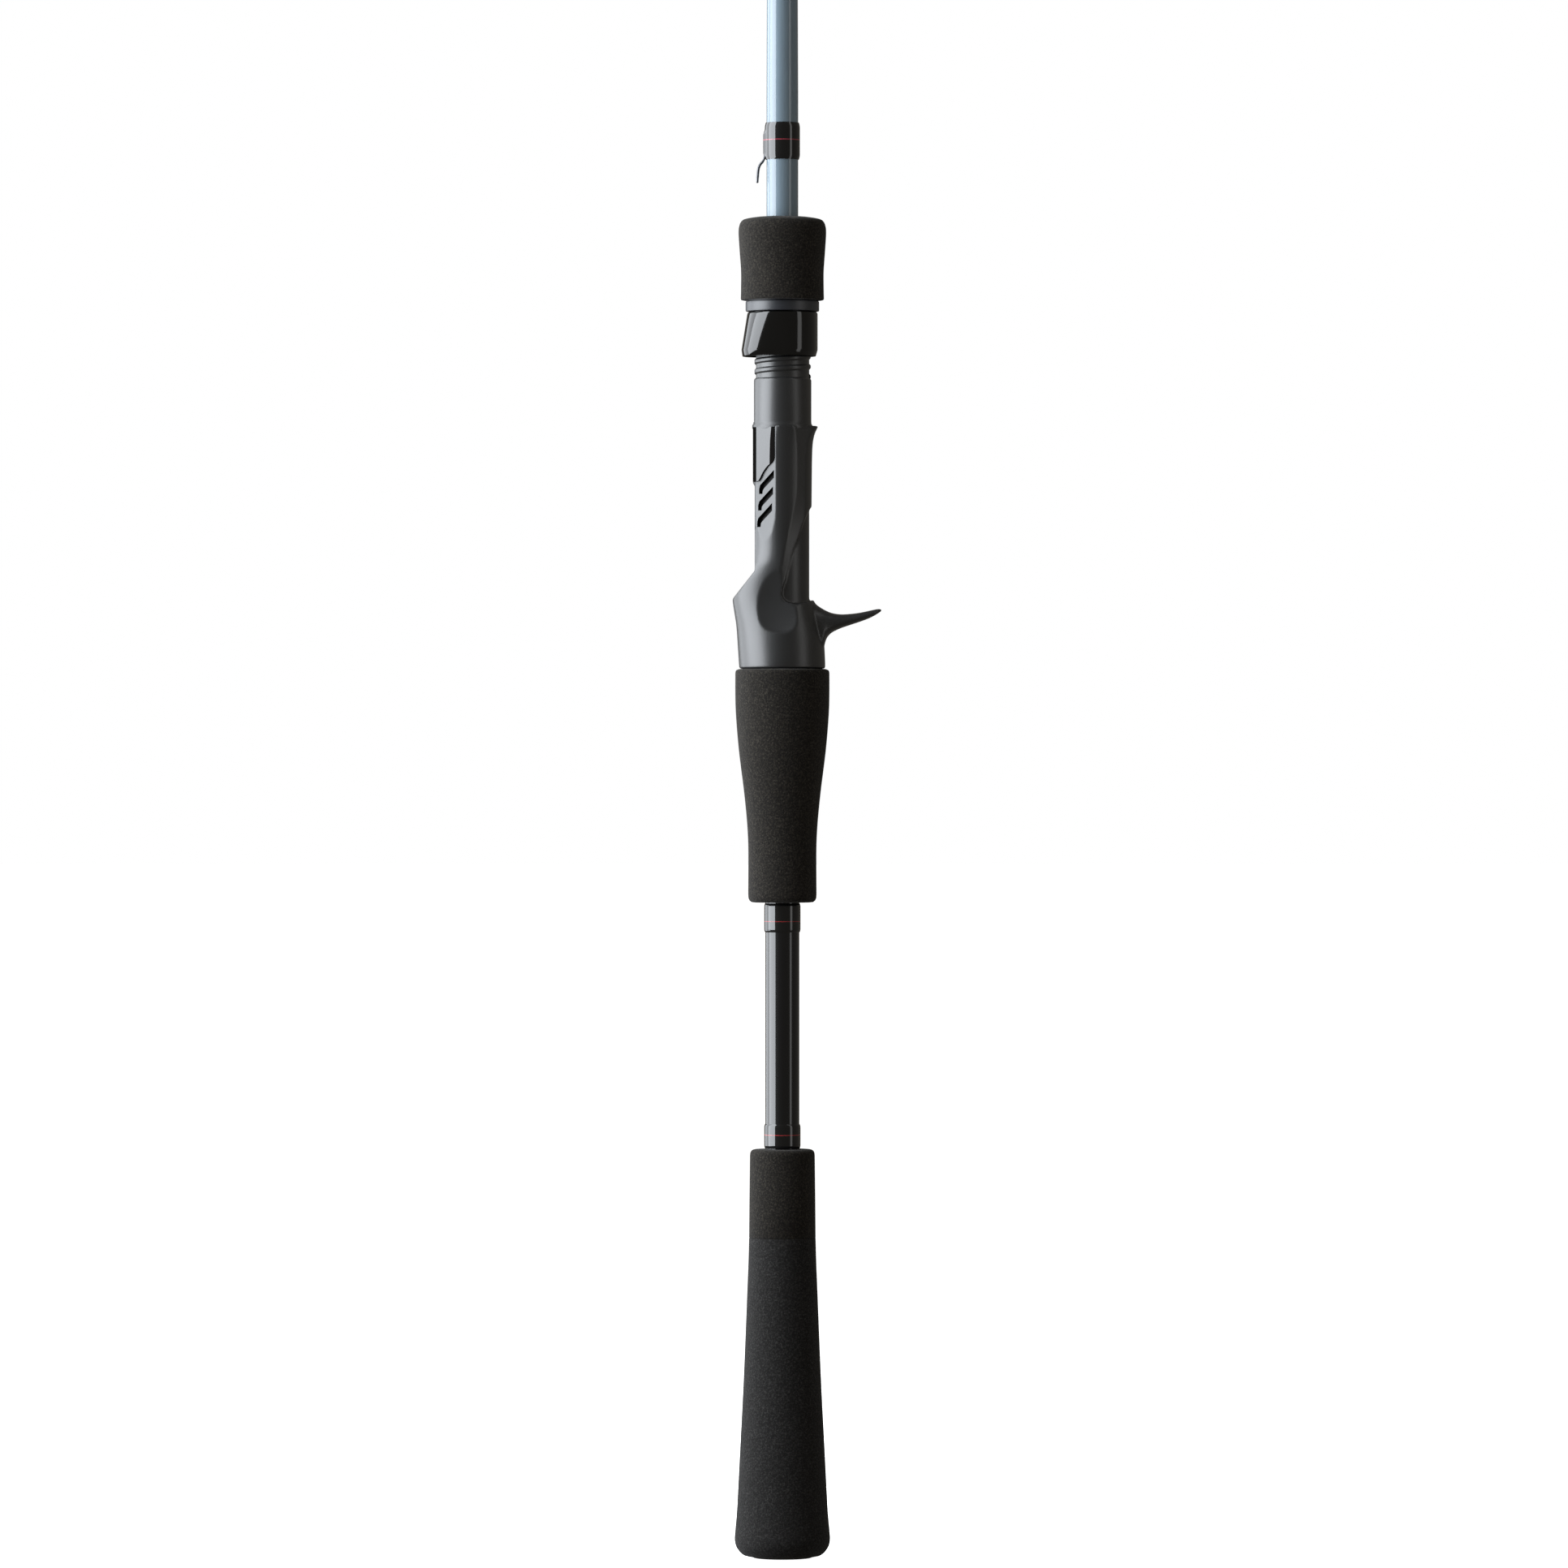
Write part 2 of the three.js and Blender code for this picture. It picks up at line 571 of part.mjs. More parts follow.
const keyBody = block(
  -(linerBore + 0.5), -(THREAD_ROOT - keyDepth + THREAD_HEIGHT + KEY_CLEARANCE),
  -(keyHalf - KEY_CLEARANCE), keyHalf - KEY_CLEARANCE, footPocketTop + 0.6, linerTop,
);
const linerSkin = loft([
  hoodRing(linerBottom, HOOD_WALL + GAP),
  hoodRing(linerTop, HOOD_WALL + GAP),
]);
const footPocket = prism(
  [
    [-(HOOD_RADIUS + 0.2), HOOD_BOTTOM - 1], [-(HOOD_RADIUS - 1.1), footPocketTop],
    [-5, footPocketTop], [-5, HOOD_BOTTOM - 1],
  ],
  -6.2, 6.2,
);
add(
  "hood_liner",
  join(cut(linerSkin, rod(linerBore, HOOD_BOTTOM - 1, HOOD_TOP + 1), footPocket), keyBody),
  0x2c2d2f, 0.5, 0,
);

// ---- Lock nut: flange, sleeve and internal thread ----
const flangeRadius = HOOD_RADIUS + 0.55;
const nutShell = solid(sleeve(
  [
    [flangeRadius - 0.4, NUT_BOTTOM],
    [flangeRadius, NUT_BOTTOM + 0.5],
    [flangeRadius, FLANGE_TOP - 0.4],
    [flangeRadius - 0.3, FLANGE_TOP],
    [SLEEVE_RADIUS, FLANGE_TOP],
    [SLEEVE_RADIUS, NUT_TOP],
  ],
  [[NUT_BORE, NUT_BOTTOM], [NUT_BORE, NUT_TOP]],
));
const nutThread = helix(
  NUT_BORE + 0.6, 1.1, THREAD_ROOT + THREAD_CLEARANCE, 0.7,
  NUT_BOTTOM + 0.4, NUT_BOTTOM + 0.4 + THREAD_PITCH * 3.3,
  screwStart + THREAD_PITCH - THREAD_ROOT_WIDTH / 2,
);
add("lock_nut", join(nutShell, nutThread), 0x5b5f69, 0.4, 0.1);

// ---- Foregrip, glued to the nut's sleeve and hollow over the threaded barrel ----
const fore = FOREGRIP_RADIUS;
add(
  "foregrip",
  solid(sleeve(
    [
      [fore - 0.8, FOREGRIP_BOTTOM], [fore - 0.9, FOREGRIP_BOTTOM + 10.5],
      [fore - 0.45, FOREGRIP_BOTTOM + 17], [fore - 0.1, FOREGRIP_BOTTOM + 22.5],
      [fore, FOREGRIP_BOTTOM + 25], [fore - 0.2, FOREGRIP_BOTTOM + 27.3],
      [fore - 0.9, FOREGRIP_BOTTOM + 29.1], [fore - 2.2, FOREGRIP_BOTTOM + 30],
      [fore - 6, FOREGRIP_BOTTOM + 30.7], [BLANK_RADIUS + GAP, FOREGRIP_TOP],
    ],
    [
      [SLEEVE_RADIUS + GAP, FOREGRIP_BOTTOM], [SLEEVE_RADIUS + GAP, NUT_TOP + GAP],
      [NUT_BORE + 0.4, NUT_TOP + GAP], [NUT_BORE + 0.4, FOREGRIP_CEILING],
      [BLANK_RADIUS + GAP, FOREGRIP_CEILING],
    ],
  )),
  0x2c2a25, 0.95, 0,
);

// ---- Hook keeper under its own wrap ----
const keeperTop = KEEPER_WRAP_BOTTOM + 10.5;
const keeperX = -(BLANK_RADIUS + SKIN_GAP + 0.05 + KEEPER_WIRE_RADIUS);
const keeperPath = [
  [0, keeperTop], [0, keeperTop - 5], [0, KEEPER_WRAP_BOTTOM + 1], [0, KEEPER_WRAP_BOTTOM - 0.2],
  [-0.75, 515.2 + KEEPER_WRAP_BOTTOM - 516.7], [-1.6, 514.3 + KEEPER_WRAP_BOTTOM - 516.7],
  [-2.4, 512.8 + KEEPER_WRAP_BOTTOM - 516.7], [-2.7, 510.5 + KEEPER_WRAP_BOTTOM - 516.7],
  [-2.8, 508 + KEEPER_WRAP_BOTTOM - 516.7],
].map(([x, z]) => new THREE.Vector3(keeperX + x, 0, z));
add("hook_keeper", wire(keeperPath, KEEPER_WIRE_RADIUS, 26), 0xb9bcc0, 0.25, 1);

// ---- Wraps: thread and epoxy over a foot, from z0 to z1 ----
function footWrap(name, z0, z1, wall, tool, humpReach, humpHalf, humpZ0, humpZ1, color = 0x0d0d0e) {
  const outside = (z, extra) => blankRadius(z) + SKIN_GAP + wall + extra;
  const ring = solid(revolve([
    [0, z0], [outside(z0, -wall * 0.6), z0], [outside(z0, 0), z0 + 1.4], [outside(z1, 0), z1 - 1.4],
    [outside(z1, -wall * 0.6), z1], [0, z1],
  ], 16));
  const hump = loft([humpZ0, humpZ1].map((z, k) => {
    const shrink = k === 0 ? 1 : 0.9;
    const reach = blankRadius(z) + humpReach * (k === 0 ? 1 : 0.6);
    const ringPoints = [];
    for (let i = 0; i < 8; i++) {
      const a = (Math.PI * i) / 7;
      ringPoints.push(new THREE.Vector3(
        -reach * 0.5 - reach * 0.5 * Math.sin(a) ** 0.5, humpHalf * shrink * Math.cos(a), z));
    }
    return ringPoints;
  }));
  const bore = solid(revolve([
    [0, z0 - 1], [blankRadius(z0) + SKIN_GAP, z0 - 1], [blankRadius(z0) + SKIN_GAP, z0],
    [blankRadius(z1) + SKIN_GAP, z1], [blankRadius(z1) + SKIN_GAP, z1 + 1], [0, z1 + 1],
  ], 16));
  add(name, cut(join(ring, hump), bore, tool), color, 0.08, 0);
}
const keeperSlot = wire(
  [
    new THREE.Vector3(keeperX, 0, KEEPER_WRAP_BOTTOM - 2),
    new THREE.Vector3(keeperX, 0, keeperTop + SKIN_GAP),
  ],
  KEEPER_WIRE_RADIUS + SKIN_GAP, 1, 10, true,
);
footWrap(
  "keeper_wrap", KEEPER_WRAP_BOTTOM, KEEPER_WRAP_BOTTOM + KEEPER_WRAP_LENGTH, 0.65, keeperSlot,
  2 * KEEPER_WIRE_RADIUS + SKIN_GAP * 2 + 0.35, 2.2, KEEPER_WRAP_BOTTOM + 0.5, keeperTop + 1.5,
);

// ---- Line guides: stamped frame with feet, ceramic ring, and a wrap on each foot ----
const FOOT_THICKNESS = 0.7;
const FOOT_LENGTH = 13;
const RING_TILT = 0.1;
// [height along the rod, ring bore radius, foot count]
const GUIDES = [
  [0.4427, 6, 2], [0.5437, 5, 2], [0.6366, 4.3, 1], [0.7186, 3.8, 1],
  [0.7896, 3.5, 1], [0.8525, 3.3, 1], [0.9071, 3.2, 1], [0.9563, 3.2, 1],
].map(([share, bore, feet]) => [share * ROD_LENGTH, bore, feet]);

function ringBody(bore, x, z, tilt) {
  const outer = bore + RING_WALL;
  const half = 0.7;
  const profile = [
    [bore, 0], [bore + 0.2, -half], [outer - 0.2, -half], [outer, 0], [outer - 0.2, half],
    [bore + 0.2, half], [bore, 0],
  ];
  return solid(revolve(profile, 20).rotateY(tilt).translate(x, 0, z));
}

function holderBody(bore, x, z, tilt) {
  const inner = bore + RING_WALL + SKIN_GAP;
  const outer = inner + HOLDER_WALL;
  const half = 0.55;
  const profile = [[inner, -half], [outer, -half], [outer, half], [inner, half], [inner, -half]];
  return solid(revolve(profile, 18).rotateY(tilt).translate(x, 0, z));
}

// Tapered foot lying on the blank from the frame (z0) to its tip (z1), grown by a margin.
function footBody(z0, z1, half, margin) {
  const low = z0 < z1 ? z0 : z1;
  const high = z0 < z1 ? z1 : z0;
  const ringAt = (z) => {
    const t = Math.abs(z - z0) / Math.abs(z1 - z0);
    const w = half * (1 - 0.45 * t) + margin;
    const base = -(blankRadius(low) + SKIN_GAP + 0.05) + margin;
    const top = base - FOOT_THICKNESS * (1 - 0.4 * t) - 2 * margin;
    return [[base, -w], [base, w], [top, w * 0.75], [top, -w * 0.75]].map(
      ([x, y]) => new THREE.Vector3(x, y, z),
    );
  };
  const reach = margin > 0 ? margin : 0;
  const rings = [ringAt(low), ringAt(high)];
  rings[0].forEach((p) => (p.z -= reach + (z0 < z1 && margin > 0 ? 3 : 0)));
  rings[1].forEach((p) => (p.z += reach + (z0 > z1 && margin > 0 ? 3 : 0)));
  return loft(rings);
}

function guide(number, z, bore, feet) {
  const name = "guide_" + number;
  const holderOuter = bore + RING_WALL + SKIN_GAP + HOLDER_WALL;
  const blank = blankRadius(z);
  const x = -(blank + holderOuter + 1.2 + bore * 0.35);
  const footHalf = Math.min(1.5, 0.75 + blank * 0.15);
  const parts = [holderBody(bore, x, z, -RING_TILT)];
  const directions = feet === 2 ? [1, -1] : [1];
  const sideY = holderOuter - 0.1;
  const lean = 0.35;
  directions.forEach((dir) => {
    const footStart = z + dir * (holderOuter * 0.55 + 1);
    const footEnd = footStart + dir * FOOT_LENGTH;
    parts.push(footBody(footStart, footEnd, footHalf, 0));
    [-1, 1].forEach((side) => {
      const top = new THREE.Vector3(
        x + sideY * Math.sin(lean), side * sideY * Math.cos(lean), z + RING_TILT * sideY * Math.sin(lean));
      const foot = new THREE.Vector3(
        -(blankRadius(Math.min(footStart, footEnd)) + SKIN_GAP + 0.05 + FOOT_THICKNESS * 0.5),
        side * footHalf * 0.45, footStart + dir * 0.8);
      parts.push(wire([top, foot], GUIDE_WIRE_RADIUS, 1, 5, true));
    });
    const low = Math.min(footStart, footEnd);
    const high = Math.max(footStart, footEnd);
    const wrapLow = dir > 0 ? low + 2 : low - 2;
    const wrapHigh = dir > 0 ? high + 2 : high - 2;
    const tool = footBody(footStart, footEnd, footHalf, SKIN_GAP);
    footWrap(
      name + (feet === 2 ? (dir > 0 ? "_wrap_front" : "_wrap_rear") : "_wrap"),
      wrapLow, wrapHigh, 0.5, tool,
      FOOT_THICKNESS + SKIN_GAP * 2 + 0.45, footHalf + 0.6,
      dir > 0 ? wrapLow + 0.4 : wrapHigh - 0.4, dir > 0 ? high + 1 : low - 1,
    );
  });
  add(name + "_frame", join(...parts), 0x5a5c60, 0.25, 1);
  add(name + "_ring", ringBody(bore, x, z, -RING_TILT), 0x1c1d20, 0.15, 0);
}
GUIDES.forEach(([z, bore, feet], i) => guide(i + 1, z, bore, feet));

// ---- Tip top: tube over the blank's end, with a braced ring ----
const tipBore = 3.2;
const tipTilt = -0.2;
const tubeInner = blankRadius(ROD_LENGTH - 30) + 0.2;
const tubeOuter = tubeInner + 0.5;
const tipTubeBottom = ROD_LENGTH - 28;
const tipTubeTop = ROD_LENGTH - 9;
const tipRingX = -(tipBore + RING_WALL + SKIN_GAP + HOLDER_WALL + 0.6);
const tipRingZ = ROD_LENGTH - 1.6;
const tipHolder = tipBore + RING_WALL + SKIN_GAP + HOLDER_WALL - 0.1;
const tipParts = [
  rod(tubeOuter, tipTubeBottom, tipTubeTop, 16),
  holderBody(tipBore, tipRingX, tipRingZ, tipTilt),
  wire(
    [
      new THREE.Vector3(0, 0, tipTubeTop - 1),
      new THREE.Vector3(
        tipRingX + tipHolder * Math.cos(tipTilt), 0, tipRingZ - tipHolder * Math.sin(tipTilt)),
    ],
    GUIDE_WIRE_RADIUS, 1, 5, true,
  ),
];
[-1, 1].forEach((side) => {
  tipParts.push(wire(
    [
      new THREE.Vector3(-tubeOuter + 0.35, side * 0.4, tipTubeTop - 6),
      new THREE.Vector3(tipRingX, side * tipHolder, tipRingZ),
    ],
    GUIDE_WIRE_RADIUS, 1, 5, true,
  ));
});
const tipFrame = cut(
  join(...tipParts),
  rod(tubeInner, tipTubeBottom - 1, BLANK_END + 0.5, 16),
);
add("tip_top_frame", tipFrame, 0x5a5c60, 0.25, 1);
add("tip_top_ring", ringBody(tipBore, tipRingX, tipRingZ, tipTilt), 0x1c1d20, 0.15, 0);
const tipWrapInner = blankRadius(tipTubeBottom - 7) + SKIN_GAP;
add(
  "tip_top_wrap",
  solid(sleeve(
    [[tipWrapInner + 0.2, tipTubeBottom - 6], [tipWrapInner + 0.55, tipTubeBottom - 5],
      [tipWrapInner + 0.55, tipTubeBottom - 1.2], [tipWrapInner + 0.3, tipTubeBottom - GAP]],
    [[tipWrapInner, tipTubeBottom - 6], [tipWrapInner, tipTubeBottom - GAP]],
    16,
  )),
  0x0d0d0e, 0.08, 0,
);

export default group;
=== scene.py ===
import math

import bmesh
import bpy
import numpy as np
from mathutils import Matrix, Vector


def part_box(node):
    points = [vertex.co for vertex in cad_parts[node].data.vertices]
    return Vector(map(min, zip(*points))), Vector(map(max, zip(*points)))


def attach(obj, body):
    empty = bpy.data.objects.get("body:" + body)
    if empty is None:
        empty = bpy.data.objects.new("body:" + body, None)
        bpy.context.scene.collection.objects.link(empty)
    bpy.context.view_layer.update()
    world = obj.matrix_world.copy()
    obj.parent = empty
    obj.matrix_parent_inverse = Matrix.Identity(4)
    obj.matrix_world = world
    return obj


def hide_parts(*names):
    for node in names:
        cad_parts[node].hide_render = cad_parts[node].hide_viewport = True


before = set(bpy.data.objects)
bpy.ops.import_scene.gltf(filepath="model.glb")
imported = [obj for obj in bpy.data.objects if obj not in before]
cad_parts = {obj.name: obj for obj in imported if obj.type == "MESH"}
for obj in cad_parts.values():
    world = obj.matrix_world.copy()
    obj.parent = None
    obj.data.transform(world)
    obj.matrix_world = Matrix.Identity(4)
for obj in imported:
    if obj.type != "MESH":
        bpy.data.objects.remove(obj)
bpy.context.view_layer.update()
MM = 0.001

# ---- Camera, floor and studio light ----
# A level camera at the middle of the handle in a seamless pale studio. Two tall softboxes stand on the reel
# side and a narrow dim strip on the trigger side, with two weak fills that leave no reflection.
scene = bpy.context.scene
scene.view_settings.view_transform = "Standard"
FRAME_SPAN = 0.5796
EYE_HEIGHT = 0.2859
CAMERA_DISTANCE = 3.5
CAMERA_OFFSET = 0.0006
SENSOR_WIDTH = 36.0
FLOOR_DROP = 0.0008

camera = bpy.data.objects.new("camera", bpy.data.cameras.new("camera"))
camera.data.sensor_width = SENSOR_WIDTH
camera.data.lens = SENSOR_WIDTH * CAMERA_DISTANCE / FRAME_SPAN
camera.location = (CAMERA_OFFSET, -CAMERA_DISTANCE, EYE_HEIGHT)
camera.rotation_euler = (math.pi / 2, 0, 0)
scene.collection.objects.link(camera)
scene.camera = camera


def srgb(code):
    """A hex colour as linear red, green, blue and alpha."""
    parts = [int(code[i:i + 2], 16) / 255 for i in (1, 3, 5)]
    return tuple(c / 12.92 if c <= 0.04045 else ((c + 0.055) / 1.055) ** 2.4 for c in parts) + (1.0,)


def add_node(tree, kind, inputs=None, **settings):
    """Adds a node, sets its settings, and fills its inputs with values or links."""
    node = tree.nodes.new(kind)
    for name, value in settings.items():
        setattr(node, name, value)
    for socket, value in (inputs or {}).items():
        if isinstance(value, bpy.types.NodeSocket):
            tree.links.new(value, node.inputs[socket])
        else:
            node.inputs[socket].default_value = value
    return node


def new_material(name):
    """An empty material with its output node, and the tree to fill."""
    material = bpy.data.materials.new(name)
    material.use_nodes = True
    material.node_tree.nodes.clear()
    return material, material.node_tree


def area_light(name, place, target, width, height, power, color="#ffffff"):
    """A rectangular soft light at a place, facing a target."""
    data = bpy.data.lights.new(name, "AREA")
    data.shape = "RECTANGLE"
    data.size, data.size_y = width, height
    data.energy = power
    data.color = srgb(color)[:3]
    lamp = bpy.data.objects.new(name, data)
    lamp.location = place
    lamp.rotation_euler = (Vector(target) - Vector(place)).to_track_quat("-Z", "Y").to_euler()
    scene.collection.objects.link(lamp)
    return lamp


area_light("softbox", (-0.95, -0.344, 0.95), (0, -0.344, 0.95), 1.02, 1.94, 55, "#f4f9ff")
area_light("softbox_behind", (-0.95, 0.65, 0.95), (0, 0.65, 0.95), 0.96, 1.94, 20, "#f4f9ff")
area_light("strip", (0.68, -0.42, 0.95), (0, 0, 0.95), 0.2, 1.94, 1.7)
fill = area_light("fill", (0.5, -1.6, 0.9), (0, 0, 0.4), 1.2, 1.2, 1.0, "#fff4e6")
fill.visible_glossy = False
side_fill = area_light("side_fill", (1.7, -0.2, 0.9), (0, 0, 0.5), 1.2, 1.6, 1.7, "#fff8ee")
side_fill.visible_glossy = False

world = bpy.data.worlds.new("studio")
world.use_nodes = True
world.node_tree.nodes.clear()
seen_by_camera = add_node(world.node_tree, "ShaderNodeLightPath")
dim = add_node(world.node_tree, "ShaderNodeBackground", {"Color": srgb("#5a5752"), "Strength": 1.5})
pale = add_node(world.node_tree, "ShaderNodeBackground", {"Color": (1, 1, 1, 1)})
backdrop = add_node(
    world.node_tree, "ShaderNodeMixShader",
    {0: seen_by_camera.outputs["Is Camera Ray"], 1: dim.outputs[0], 2: pale.outputs[0]},
)
add_node(world.node_tree, "ShaderNodeOutputWorld", {"Surface": backdrop.outputs[0]})
scene.world = world

floor_bm = bmesh.new()
bmesh.ops.create_grid(floor_bm, x_segments=1, y_segments=1, size=30)
bmesh.ops.translate(floor_bm, verts=floor_bm.verts, vec=(0, 0, -FLOOR_DROP))
floor_mesh = bpy.data.meshes.new("floor")
floor_bm.to_mesh(floor_mesh)
floor_bm.free()
floor = bpy.data.objects.new("floor", floor_mesh)
scene.collection.objects.link(floor)
floor_paint, tree = new_material("white_studio_paper")
matt = add_node(tree, "ShaderNodeBsdfDiffuse", {"Color": srgb("#f2f2f0")})
glow = add_node(tree, "ShaderNodeEmission", {"Color": (1, 1, 1, 1)})
both = add_node(tree, "ShaderNodeAddShader", {0: matt.outputs[0], 1: glow.outputs[0]})
add_node(tree, "ShaderNodeOutputMaterial", {"Surface": both.outputs[0]})
floor_mesh.materials.append(floor_paint)
floor.visible_diffuse = False
floor.visible_glossy = False

# ---- Blank and handle tube ----
# Rolled carbon-fibre tubes, ground true, lacquered and clear coated. The blank is steel blue and tapers to
# the tip; the handle tube is black. They meet on a plug inside the reel seat.


def turn(outline, steps=96, closed=False):
    """Spins an outline of (radius, height) in millimetres about the rod's axis."""
    bm = bmesh.new()
    verts = [bm.verts.new((-r * MM, 0, z * MM)) for r, z in outline]
    edges = [bm.edges.new(pair) for pair in zip(verts, verts[1:])]
    if closed:
        edges.append(bm.edges.new((verts[-1], verts[0])))
    bmesh.ops.spin(
        bm, geom=verts + edges, axis=(0, 0, 1), angle=2 * math.pi, steps=steps, use_merge=True)
    bmesh.ops.remove_doubles(bm, verts=bm.verts, dist=1e-6)
    return bm


def curve_through(points, cuts=6):
    """A smooth line through a list of points, with cuts steps between each two."""
    pts = np.array(points, float)
    padded = np.vstack([2 * pts[0] - pts[1], pts, 2 * pts[-1] - pts[-2]])
    line = []
    for a, b, c, d in zip(padded, padded[1:], padded[2:], padded[3:]):
        for t in np.linspace(0, 1, cuts, endpoint=False):
            line.append(0.5 * (2 * b + (c - a) * t + (2 * a - 5 * b + 4 * c - d) * t**2
                               + (3 * b - a - 3 * c + d) * t**3))
    return [tuple(p) for p in line] + [tuple(pts[-1])]


def new_piece(name, bm, material, body, replaces, sharp=32):
    """Makes a shown piece of a bmesh, with its material, body, slot and the CAD nodes it stands for."""
    bmesh.ops.recalc_face_normals(bm, faces=bm.faces)
    mesh = bpy.data.meshes.new(name)
    bm.to_mesh(mesh)
    bm.free()
    mesh.shade_smooth()
    mesh.set_sharp_from_angle(angle=math.radians(sharp))
    mesh.materials.append(material)
    piece = bpy.data.objects.new(name, mesh)
    scene.collection.objects.link(piece)
    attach(piece, body)
    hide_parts(*replaces)
    return piece


def heights(node):
    """A CAD node's lowest and highest point in millimetres."""
    low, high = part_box(node)
    return low.z / MM, high.z / MM


def reach(node):
    """A CAD node's largest radius to +Y in millimetres."""
    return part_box(node)[1].y / MM


def lacquer(name, deep, light, flake, roughness):
    """Clear-coated lacquer: a pigment with fine metallic flake that varies slightly along the tube."""
    material, tree = new_material(name)
    here = add_node(tree, "ShaderNodeTexCoord").outputs["Object"]
    stretched = add_node(
        tree, "ShaderNodeMapping", {"Vector": here, "Scale": (900, 900, 60)})
    drift = add_node(
        tree, "ShaderNodeTexNoise",
        {"Vector": stretched.outputs[0], "Scale": 1.0, "Detail": 3.0, "Roughness": 0.6})
    pigment = add_node(
        tree, "ShaderNodeMix", {0: drift.outputs["Fac"], 6: srgb(deep), 7: srgb(light)}, data_type="RGBA")
    grain = add_node(
        tree, "ShaderNodeTexNoise", {"Vector": here, "Scale": 6000.0, "Detail": 1.0})
    rough = add_node(
        tree, "ShaderNodeMapRange",
        {"Value": grain.outputs["Fac"], "To Min": roughness - 0.05, "To Max": roughness + 0.05})
    skin = add_node(
        tree, "ShaderNodeBsdfPrincipled",
        {"Base Color": pigment.outputs[2], "Metallic": flake, "Roughness": rough.outputs[0],
         "Specular IOR Level": 0.1, "Coat Weight": 1.0, "Coat Roughness": 0.03})
    add_node(tree, "ShaderNodeOutputMaterial", {"Surface": skin.outputs[0]})
    return material


# Steel-blue automotive lacquer, sprayed over a silver base under a clear coat: deep, cool, very glossy.
steel_blue_lacquer = lacquer("sprayed_steel_blue_lacquer", "#606f7a", "#6d7d87", 0.05, 0.5)
# Black lacquer under the same clear coat: near-black with hard bright reflections.
black_lacquer = lacquer("sprayed_black_lacquer", "#060607", "#09090a", 0.0, 0.4)

blank_low, blank_high = heights("blank")
BLANK_RADIUS = reach("blank")
TAPER_START = 540.0
TIP_RADIUS = 0.95
BLANK_WALL = 1.25
DOUBLE_BORE_SHARE = 0.7


def blank_radius(z):
    """The blank's outer radius at a height, in millimetres."""
    t = min(1.0, max(0.0, (z - TAPER_START) / (blank_high - TAPER_START)))
    return BLANK_RADIUS + (TIP_RADIUS - BLANK_RADIUS) * t


bore_end = TAPER_START + (blank_high - TAPER_START) * DOUBLE_BORE_SHARE
outside = [blank_low, TAPER_START] + list(np.linspace(TAPER_START, blank_high - 0.4, 16)[1:])
inside = [z for z in outside if z < bore_end]
blank_outline = (
    [(blank_radius(z), z) for z in outside]
    + [(TIP_RADIUS - 0.3, blank_high), (0, blank_high), (0, bore_end)]
    + [(blank_radius(z) - BLANK_WALL, z) for z in reversed(inside)]
    + [(blank_radius(blank_low), blank_low)]
)
new_piece("blank_shaft", turn(blank_outline, 64), steel_blue_lacquer, "rod", ["blank"])

tube_low, tube_high = heights("handle_tube")
TUBE_RADIUS = reach("handle_tube")
TUBE_WALL = 1.7
tube_outline = [
    (TUBE_RADIUS, tube_low), (TUBE_RADIUS, tube_high),
    (TUBE_RADIUS - TUBE_WALL, tube_high), (TUBE_RADIUS - TUBE_WALL, tube_low),
]
new_piece(
    "handle_shaft", turn(tube_outline, 64, closed=True), black_lacquer, "rod",
    ["handle_tube"])

# ---- Spigot and arbors ----
# Inside the seat a ground carbon plug joins the two tubes, and three bored urethane foam arbors, glued on,
# centre them in the seat's bore.


def open_pored(name, dark, light, grit_mm, roughness):
    """A dry, sanded surface: mottled colour and shallow pits of a grit size in millimetres."""
    material, tree = new_material(name)
    here = add_node(tree, "ShaderNodeTexCoord").outputs["Object"]
    mottle = add_node(
        tree, "ShaderNodeTexNoise",
        {"Vector": here, "Scale": 1000 / grit_mm / 2, "Detail": 4.0, "Roughness": 0.7})
    colour = add_node(
        tree, "ShaderNodeMix", {0: mottle.outputs["Fac"], 6: srgb(dark), 7: srgb(light)}, data_type="RGBA")
    pits = add_node(
        tree, "ShaderNodeTexVoronoi", {"Vector": here, "Scale": 1000 / grit_mm})
    relief = add_node(
        tree, "ShaderNodeBump", {"Height": pits.outputs["Distance"], "Strength": 0.4, "Distance": 0.0001})
    skin = add_node(
        tree, "ShaderNodeBsdfPrincipled",
        {"Base Color": colour.outputs[2], "Roughness": roughness, "Normal": relief.outputs[0]})
    add_node(tree, "ShaderNodeOutputMaterial", {"Surface": skin.outputs[0]})
    return material


# Ground carbon fibre: dull charcoal, mottled and dry from the grinding wheel.
ground_carbon = open_pored("ground_carbon_fibre", "#1c1c1e", "#343437", 0.4, 0.55)
# Rigid urethane foam: pale buff, open cells of about half a millimetre.
urethane_foam = open_pored("turned_urethane_foam", "#7a7362", "#a29a86", 0.5, 0.95)
for node in ("spigot", "arbor_rear", "arbor_middle", "arbor_front"):
    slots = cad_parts[node].data.materials
    slots.clear()
    slots.append(ground_carbon if node == "spigot" else urethane_foam)

# ---- Butt: rubber plug, flared foam grip and its collar ----
# The grip and its collar are turned and sanded from closed-cell EVA foam and glued on the handle tube. The
# moulded rubber plug closes the tube and takes the knocks.

# Features per metre. The cells and flecks, about 0.6 mm, are drawn coarser than real cells so that they show.
CELLS = 1700.0
FLECKS = 1500.0
CLOUDS = 90.0


